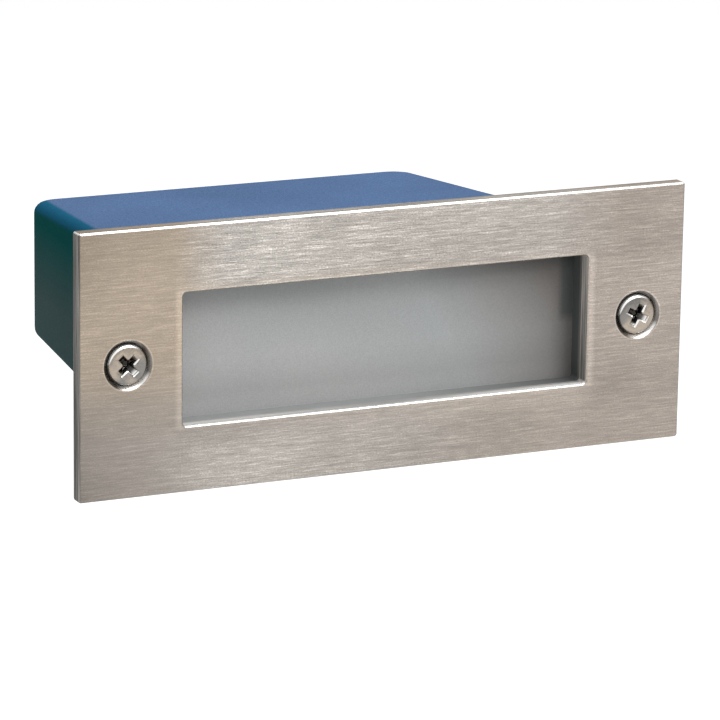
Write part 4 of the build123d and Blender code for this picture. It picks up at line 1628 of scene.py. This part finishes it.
# %% Gland nut
gland_nut_radius = 10.2
gland_nut_bore = 8.28
gland_nut_opening = 4.5
gland_nut_round = 1.6
gland_nut_step = 0.3
gland_nut_chamfer = 0.5
gland_seal_clearance = 0.08


def gland_nut():
    low, high = edges_of("gland_nut")
    length = high.y - low.y
    inside = edges_of("gland_seal")[1].y + gland_seal_clearance - low.y
    hexagon_end = edges_of("gland_body")[1].y - low.y
    outline = [(0, gland_nut_bore)] + hexagon_block(0, hexagon_end)
    outline += [(hexagon_end, gland_nut_radius + gland_nut_step)]
    outline += [(hexagon_end + gland_nut_step, gland_nut_radius)]
    dome = (length - gland_nut_round, gland_nut_radius - gland_nut_round)
    outline += arc(dome, gland_nut_round, 0, 90)
    outline += [(length, gland_nut_opening + gland_nut_chamfer)]
    outline += [(length - gland_nut_chamfer, gland_nut_opening), (inside, gland_nut_opening)]
    outline += [(inside, gland_nut_bore)]
    places = [spot(gland_x, low.y, 0)]
    piece = turned("gland_nut_domed", outline, places, entry_steps, hexagon(spanner_flats))
    takes_over(piece, "gland_nut")


gland_nut()

# %% Entry washers and locknuts
washer_bore = 8.15
washer_edge = 0.35
locknut_bore = 7.98
locknut_chamfer = 0.5


def entry_washer(name, node):
    low, high = edges_of(node)
    outline = ring(washer_bore, (high.z - low.z) / 2, high.y - low.y, washer_edge)
    place = spot(middle_of(node).x, low.y, 0)
    takes_over(turned(name, outline, [place], entry_steps), node)


def entry_locknut(name, node):
    low, high = edges_of(node)
    length = high.y - low.y
    outline = [(locknut_chamfer, locknut_bore), (0, locknut_bore + locknut_chamfer)]
    outline += hexagon_block(0, length) + [(length, locknut_bore + locknut_chamfer)]
    outline += [(length - locknut_chamfer, locknut_bore)]
    place = spot(middle_of(node).x, low.y, 0)
    takes_over(turned(name, outline, [place], entry_steps, hexagon(spanner_flats)), node)


for owner in ("gland", "blanking_plug"):
    entry_washer(owner + "_washer_ring", owner + "_washer")
    entry_locknut(owner + "_locknut_hexagon", owner + "_locknut")

# %% Blanking plug
plug_head_radius = 10.5
plug_head_edge = 0.3
plug_rim_ribs = 30
plug_rib_depth = 0.3
plug_chamfer = 0.75
coin_slot = (30.0, 2.0)
coin_slot_depth = 1.5


def blanking_plug():
    low, high = edges_of("blanking_plug")
    length = high.y - low.y
    head = entry_washer_back - low.y
    outline = [(0, 0)] + entry_shank() + [(head, plug_head_radius - plug_head_edge)]
    outline += [(head + plug_head_edge, plug_head_radius)]
    outline += [(length - plug_chamfer, plug_head_radius)]
    outline += [(length, plug_head_radius - plug_chamfer), (length, 0)]
    rule = together(
        thread(entry_radius, entry_pitch, entry_thread_depth),
        ribbed(plug_head_radius, plug_rim_ribs, plug_rib_depth),
    )
    piece = turned("blanking_plug_ribbed", outline, [spot(plug_x, low.y, 0)], 120, rule)
    slot_place = spot(plug_x, high.y, 0, "front")
    cut(piece, bar_cutter(slot_place, coin_slot, coin_slot, coin_slot_depth))
    takes_over(piece, "blanking_plug")


blanking_plug()

# %% [markdown]
# ## Small screws
# The reflector, the holder, the terminal block and the earth tag are held by small slotted screws,
# and each clamp has a grub screw without a head. One function turns them all from the head's top
# down: a rounded head, a thread, a blunt point, and a slot cut across.

# %% Small screws
slot_width = 0.8
slot_depth = 0.7
small_pitch = 0.6
small_thread_depth = 0.22
head_round_share = 0.6
grub_chamfer = 0.25
thread_gap = 0.3
point_length = 0.5
point_share = 0.6


def slotted_screws(name, node, places, shank, length, head=None):
    """Screws at places that aim down their shanks; head is (radius, height), or none."""
    outline = [(0, 0), (0, shank - grub_chamfer), (grub_chamfer, shank)]
    top, widest = grub_chamfer, shank
    if head:
        widest, top = head
        bend = top * head_round_share
        outline = [(0, 0)] + arc((bend, widest - bend), bend, -90, 0, 4)
        outline += [(top, widest), (top, shank - small_thread_depth)]
    outline += rows(top + thread_gap, length - point_length, shank, small_pitch / 4)
    outline += [(length, shank * point_share), (length, 0)]
    piece = turned(name, outline, places, 28, thread(shank, small_pitch, small_thread_depth))
    across = (3 * widest, slot_width)
    cut(piece, *[bar_cutter(place, across, across, slot_depth) for place in places])
    takes_over(piece, node)


print("slotted screws ready")

# %% Screws of the reflector, the holder, the block and the earth tag
small_shank = 1.45
small_head = (2.7, 1.8)
fine_shank = 1.2
fine_head = (2.2, 1.6)
earth_slot_turn = 35


def inset_pair(low, high, inset):
    """Two places that far inside the ends of a span."""
    return low + inset, high - inset


def reflector_screws():
    low, high = edges_of("bracket_screws")
    places = [spot(x, low.y, 0) for x in inset_pair(low.x, high.x, small_head[0])]
    length = high.y - low.y
    slotted_screws("reflector_screws", "bracket_screws", places, small_shank, length, small_head)


def holder_screws():
    low, high = edges_of("lamp_holder_screws")
    depths = inset_pair(low.y, high.y, small_head[0])
    places = [spot(low.x, depth, 0, "right") for depth in depths]
    length = high.x - low.x
    slotted_screws("holder_screws", "lamp_holder_screws", places, small_shank, length, small_head)


def block_screws():
    low, high = edges_of("block_screws")
    heights = inset_pair(low.z, high.z, fine_head[0])
    places = [spot(0, high.y, height, "front") for height in heights]
    length = high.y - low.y
    slotted_screws("terminal_block_screws", "block_screws", places, fine_shank, length, fine_head)


def earth_screw():
    low, high = edges_of("earth_screw")
    x, _, z = middle_of("earth_screw")
    places = [spot(x, high.y, z, "front", earth_slot_turn)]
    length = high.y - low.y
    slotted_screws("earth_tag_screw", "earth_screw", places, fine_shank, length, fine_head)


reflector_screws()
holder_screws()
block_screws()
earth_screw()

# %% Grub screws of the clamps
grub_shank = 1.5
grub_turn = 17


def grub_screws():
    low, high = edges_of("clamp_screws")
    places = []
    for height in (low.z + grub_shank, 0, high.z - grub_shank):
        for x in inset_pair(low.x, high.x, grub_shank):
            places.append(spot(x, high.y, height, "front", grub_turn * len(places)))
    slotted_screws("clamp_grub_screws", "clamp_screws", places, grub_shank, high.y - low.y)


grub_screws()

# %% [markdown]
# ## Lamp
# The lamp is a slim tube with a 14 mm screw cap. The cap's thread is rolled, so its grooves are
# round, and the glass is a thin shell that narrows to a neck inside the cap. The neck is left open
# in the mesh, so that the glass has an inner and an outer face and bends light as a real wall does.

# %% Lamp cap
lamp_pitch = 2.82
lamp_thread_depth = 0.65
cap_radius = 7.0
cap_foot = ((0.0, 0.9), (0.5, 0.35))
cap_thread_span = (1.0, 4.4)
cap_collar_span = (3.6, 2.2)
cap_collar_step = 0.1
cap_flare = 8.5
cap_flare_edge = (0.5, 0.05)
lamp_axis_y = middle_of("lamp_bulb").y


def along_lamp(x):
    """A spot on the lamp's axis that aims to the right."""
    return spot(x, lamp_axis_y, 0, "right")


def lamp_cap():
    low, high = edges_of("lamp_cap")
    length = high.x - low.x
    thread_start, thread_stop = cap_thread_span
    outline = [(0, 0)] + [(distance, cap_radius - thinner) for distance, thinner in cap_foot]
    outline += rows(thread_start, length - thread_stop, cap_radius, lamp_pitch / 8)
    outline += [(length - before, cap_radius - cap_collar_step) for before in cap_collar_span]
    back, inwards = cap_flare_edge
    outline += [(length - back, cap_flare), (length, cap_flare - inwards), (length, 0)]
    rule = rolled(cap_radius, lamp_pitch, lamp_thread_depth)
    takes_over(turned("lamp_cap_rolled", outline, [along_lamp(low.x)], 64, rule), "lamp_cap")


lamp_cap()

# %% Insulator and solder tip
insulator_front = ((0.0, 2.6), (0.25, 3.0))
insulator_bend = 5.0
insulator_bend_share = 0.55
insulator_edge = 0.2
solder_radius = 2.0
solder_height = 0.8


def lamp_insulator():
    low, high = edges_of("lamp_insulator")
    length = high.x - low.x
    wide = (high.z - low.z) / 2
    outline = [(0, 0), *insulator_front, (length * insulator_bend_share, insulator_bend)]
    outline += [(length - insulator_edge, wide), (length, wide), (length, 0)]
    takes_over(turned("lamp_insulator_cone", outline, [along_lamp(low.x)]), "lamp_insulator")


def solder_tip():
    low, high = edges_of("lamp_contact")
    length = high.x - low.x
    outline = dome_points(solder_radius, solder_height, solder_radius)
    outline += [(length, solder_radius), (length, 0)]
    takes_over(turned("lamp_solder_tip", outline, [along_lamp(low.x)]), "lamp_contact")


lamp_insulator()
solder_tip()

# %% Lamp glass
bulb_radius = 12.5
bulb_wall = 0.8
neck_radius = 8.0
neck_length = 9.0
neck_steps = 8
tube_step = 12.0
end_steps = 12


def lamp_glass():
    low, high = edges_of("lamp_bulb")
    length = high.x - low.x

    def wall(inset):
        points = []
        for step in range(neck_steps + 1):
            share = (1 - cos(pi * step / neck_steps)) / 2
            radius = neck_radius + (bulb_radius - neck_radius) * share - inset
            points.append((neck_length * step / neck_steps, radius))
        end = length - bulb_radius
        points += rows(neck_length + 1, end, bulb_radius - inset, tube_step)
        return points + arc((end, 0), bulb_radius - inset, 0, 90, end_steps)[1:-1]

    outline = wall(0) + [(length, 0), (length - bulb_wall, 0)] + wall(bulb_wall)[::-1]
    takes_over(turned("lamp_glass", outline, [along_lamp(low.x)], 64), "lamp_bulb")


lamp_glass()

# %% [markdown]
# Inside, a glass stem carries a disc, and four coated rods run from it to a second disc at the far
# end, each thinner where its lead comes out. The rods are one outline turned at four spots.

# %% Stem and coated rods
stem_radius = 2.5
stem_foot = ((0, 1.2), (3, 0.3), (6, 0.0))
stem_length = 14.0
disc_radius = 5.3
disc_thickness = 0.8
rod_radius = 0.9
rod_spread = 3.5
rod_shoulder = 1.7
lead_radius = 0.54
lead_length = 1.5


def lamp_filament():
    low, high = edges_of("lamp_filament")
    length = high.x - low.x
    outline = [(0, 0)] + [(distance, stem_radius + wider) for distance, wider in stem_foot]
    outline += [(stem_length, stem_radius), (stem_length, disc_radius)]
    outline += [(stem_length + disc_thickness, disc_radius), (stem_length + disc_thickness, 0)]
    stem = turned("stem", outline, [along_lamp(low.x)], 32)
    end = [(0, 0), (0, disc_radius), (disc_thickness, disc_radius), (disc_thickness, 0)]
    end_disc = turned("end_disc", end, [along_lamp(high.x - disc_thickness)], 32)
    reach = length - stem_length - disc_thickness
    half = [(0, 0), (0, lead_radius), (lead_length, lead_radius), (rod_shoulder, rod_radius)]
    rod = half + [(reach - distance, radius) for distance, radius in half[::-1]]
    start = low.x + stem_length
    places = []
    for across, up in ((1, 0), (0, 1), (-1, 0), (0, -1)):
        depth = lamp_axis_y + across * rod_spread
        places.append(spot(start, depth, up * rod_spread, "right"))
    rods = turned("rods", rod, places, 20)
    takes_over(merged("filament_rods_and_stem", [rods, stem, end_disc]), "lamp_filament")


lamp_filament()

# %% [markdown]
# ## Lamp holder
# The holder is a glazed ceramic sleeve with a brass shell pressed in, whose round thread follows
# the lamp's. Its outside has two grooves from the mould and a chamfered mouth. Each is one outline
# turned about the lamp's axis, and the shell takes the thread's rule on both of its faces.

# %% Ceramic sleeve
holder_radius = 13.0
holder_bore = 7.98
holder_floor = 5.8
holder_groove = 0.7
holder_groove_places = (5.0, 20.0)
holder_groove_slope = 0.6
holder_groove_width = 2.0
holder_mouth = ((1.2, 0.0), (0.4, 0.5), (0.0, 1.2))
holder_bore_chamfer = 0.4


def ceramic_sleeve():
    low, high = edges_of("lamp_holder_body")
    length = high.x - low.x
    valley = holder_radius - holder_groove
    outline = [(0, 0), (0, valley), (holder_groove, holder_radius)]
    for place in holder_groove_places:
        outline += [(place, holder_radius), (place + holder_groove_slope, valley)]
        place += holder_groove_width
        outline += [(place, valley), (place + holder_groove_slope, holder_radius)]
    outline += [(length - before, holder_radius - inwards) for before, inwards in holder_mouth]
    outline += [(length, holder_bore + holder_bore_chamfer)]
    outline += [(length - holder_bore_chamfer, holder_bore)]
    outline += [(holder_floor, holder_bore), (holder_floor, 0)]
    piece = turned("ceramic_sleeve", outline, [along_lamp(low.x)], 64)
    takes_over(piece, "lamp_holder_body")


ceramic_sleeve()

# %% Brass shell
shell_thread_depth = -0.24
shell_inner = 7.08
shell_outer = 7.68


def brass_shell():
    low, high = edges_of("lamp_holder_shell")
    length = high.x - low.x
    outline = rows(0, length, shell_outer, lamp_pitch / 8)
    outline += rows(length, 0, shell_inner, lamp_pitch / 8)
    rule = together(
        rolled(shell_outer, lamp_pitch, shell_thread_depth),
        rolled(shell_inner, lamp_pitch, shell_thread_depth),
    )
    takes_over(turned("brass_shell", outline, [along_lamp(low.x)], 64, rule), "lamp_holder_shell")


brass_shell()

# %% [markdown]
# ## Terminal block and grommets
# The block is moulded nylon with three poles. Each pole has a brass tube that the wires enter from
# the sides and two wells down to the grub screws, and a notch between the poles lets the block be
# cut apart. It is stacked as a block, and then the channels, wells and notches are cut. The wires
# leave the reflector through two rubber grommets, whose waist sits in the sheet's holes.

# %% Channels and wells for the wires
clamp_radius = 2.5
channel_radius = 2.58
well_radius = 1.75


def drill(length, radius, places):
    """A cutter for round holes that long, from each place."""
    outline = [(0, 0), (0, radius), (length, radius), (length, 0)]
    return turned("cutter", outline, places, 32)


def wire_channels(low, high):
    """The channels along x that hold the clamps, and the wells down to their screws."""
    clamp_low, clamp_high = edges_of("terminal_clamps")
    screw_low, screw_high = edges_of("clamp_screws")
    channel_y = (clamp_low.y + clamp_high.y) / 2
    poles = (clamp_low.z + clamp_radius, 0, clamp_high.z - clamp_radius)
    starts = [spot(low.x - CUT_PAST, channel_y, z, "right") for z in poles]
    channels = drill(high.x - low.x + 2 * CUT_PAST, channel_radius, starts)
    well_places = inset_pair(screw_low.x, screw_high.x, grub_shank)
    starts = [spot(x, channel_y, z) for x in well_places for z in poles]
    return channels, drill(high.y + CUT_PAST - channel_y, well_radius, starts)


print("three poles with channels", 2 * channel_radius, "mm across")

# %% Screw holes and notches of the block
block_screw_well = 2.28
block_screw_hole = 1.28
notch_size = (4.0, 1.2)
notch_depth = 12.0


def fixing_holes(low, high, heights):
    """The two screw holes through the block, wider where the heads sink in."""
    seat = high.y - fine_head[1] - low.y + CUT_PAST
    end = high.y - low.y + 2 * CUT_PAST
    hole = [(0, 0), (0, block_screw_hole), (seat, block_screw_hole), (seat, block_screw_well)]
    hole += [(end, block_screw_well), (end, 0)]
    return turned("cutter", hole, [spot(0, low.y - CUT_PAST, z) for z in heights], 32)


def pole_notches(low, high, heights):
    """Notches in both sides between the poles."""
    places = [spot(x, high.y, z, "front") for z in heights for x in (low.x, high.x)]
    return [bar_cutter(place, notch_size, notch_size, notch_depth) for place in places]


print("notches", notch_size, "mm")

# %% Terminal block
block_corner = 1.2
block_edge = 0.25
block_crease = 40.0


def terminal_block():
    low, high = edges_of("terminal_block")
    size = (high.x - low.x, high.z - low.z, block_corner)
    screw_low, screw_high = edges_of("block_screws")
    between_poles = inset_pair(screw_low.z, screw_high.z, fine_head[0])
    piece = stacked("terminal_block_moulded", [(*size, low.y), (*size, high.y)])
    cut(piece, *wire_channels(low, high))
    cut(piece, fixing_holes(low, high, between_poles), *pole_notches(low, high, between_poles))
    soften(piece, block_edge, 2, block_crease)
    takes_over(piece, "terminal_block")


terminal_block()

# %% Wire grommets
grommet_radius = 4.0
grommet_waist = 2.9
grommet_flange = 0.8
grommet_bore = 1.4
grommet_chamfer = 0.4


def wire_grommets():
    low, high = edges_of("wire_grommets")
    length = high.y - low.y
    bend = grommet_flange / 2
    outline = arc((bend, grommet_radius - bend), bend, -90, 90, 6)
    outline += [(grommet_flange, grommet_waist), (length - grommet_flange, grommet_waist)]
    outline += arc((length - bend, grommet_radius - bend), bend, -90, 90, 6)
    outline += [(length, grommet_bore + grommet_chamfer)]
    outline += [(length - grommet_chamfer, grommet_bore), (grommet_chamfer, grommet_bore)]
    outline += [(0, grommet_bore + grommet_chamfer)]
    x = middle_of("wire_grommets").x
    heights = inset_pair(low.z, high.z, grommet_radius)
    places = [spot(x, low.y, height) for height in heights]
    takes_over(turned("rubber_grommets", outline, places), "wire_grommets")


wire_grommets()

# %% [markdown]
# ## Moulding marks
# Where the tool's pins pushed the housing out of its mould, they leave faint rings, and round each
# fixing hole there is a low boss for the screw's head. Both are part of the same moulding, so they
# join the housing, as flat rings set a little into its back.

# %% Moulding marks
fixing_boss_radius = 5.2
fixing_boss_height = 0.6
fixing_hole_radius = 2.25
fixing_edge = 0.28
fixing_x = 46.0
mark_sunk = 0.3
pin_radius = 3.0
pin_ring_width = 0.35
pin_ring_thickness = 0.45
pin_edge = 0.12
pin_places = ((-13.5, 12.0), (13.5, 12.0), (-13.5, -12.0), (13.5, -12.0))


def moulding_marks():
    start = entry_wall_back - mark_sunk
    thickness = fixing_boss_height + mark_sunk
    boss = ring(fixing_hole_radius, fixing_boss_radius, thickness, fixing_edge)
    boss_places = [spot(side * fixing_x, start, 0) for side in BOTH_SIDES]
    bosses = turned("fixing_bosses", boss, boss_places)
    mark = ring(pin_radius - pin_ring_width, pin_radius, pin_ring_thickness, pin_edge)
    pins = turned("pin_marks", mark, [spot(x, start, z) for x, z in pin_places], 40)
    joins(bosses, "recess_housing")
    joins(pins, "recess_housing")


moulding_marks()

# %% [markdown]
# ## Stage and light
# The object hangs on no wall here, so a pale floor lies well below it and keeps its shadow. The
# picture's white ground is the world and a glow of the floor that only the camera, a mirror or a
# pane sees, which adds no light to the object: for all other rays the world is a dim grey.

# %% Floor and world
floor_drop = 140 * MM
floor_reach = 6.0
floor_colour = (0.9, 0.9, 0.9, 1)
floor_glow = 0.6
ambient = (0.30, 0.30, 0.309)


def pale_floor():
    mesh = bpy.data.meshes.new("floor")
    level = cad_low.z - floor_drop
    sides = [(-1, -1), (1, -1), (1, 1), (-1, 1)]
    corners = [(x * floor_reach, y * floor_reach, level) for x, y in sides]
    mesh.from_pydata(corners, [], [(0, 1, 2, 3)])
    piece = placed("floor", mesh)
    material, tree, surface = new_finish("pale_floor", Roughness=0.9, Base_Color=floor_colour)
    surface.inputs["Emission Color"].default_value = (1, 1, 1, 1)
    glow = product(tree, seen_directly(tree), floor_glow)
    tree.links.new(glow, surface.inputs["Emission Strength"])
    mesh.materials.append(material)


def seen_directly(tree):
    """1 for rays from the camera, from a mirror or through glass, and 0 for the rest."""
    ray = add(tree, "ShaderNodeLightPath").outputs
    seen = ray["Is Camera Ray"]
    for other in ("Is Glossy Ray", "Is Transmission Ray"):
        seen = number(tree, "MAXIMUM", seen, ray[other])
    return seen


def pale_world():
    world = bpy.data.worlds.new("studio")
    world.use_nodes = True
    bpy.context.scene.world = world
    tree = world.node_tree
    sheet = tree.nodes["Background"]
    colour = blend(tree, seen_directly(tree), ambient, (1, 1, 1))
    tree.links.new(colour, sheet.inputs["Color"])


pale_floor()
pale_world()
print("floor at", round((cad_low.z - floor_drop) / MM, 1), "mm")

# %% [markdown]
# Two soft lamps light it. One hangs above: the plate's upper bevel, the sill of the window and the
# screws' recesses mirror it. The other stands in front, to the right and higher than the camera,
# and lights the face. Both are wide, because brushed metal under a small lamp looks streaky.

# %% Soft lamps
def softbox(name, place, width, height, power, tint=(1, 1, 1)):
    """A rectangular lamp that faces the object's middle."""
    data = bpy.data.lights.new(name, "AREA")
    data.shape = "RECTANGLE"
    data.size = width
    data.size_y = height
    data.energy = power
    data.color = tint
    lamp = placed(name, data)
    lamp.location = place
    lamp.rotation_mode = "QUATERNION"
    lamp.rotation_quaternion = Vector(place).to_track_quat("Z", "Y")


softbox("top_lamp", (0.15, -0.25, 1.0), 0.9, 0.7, 7.2)
softbox("front_lamp", (0.45, -0.95, 0.85), 0.6, 0.6, 6.6)
print("lamps placed")
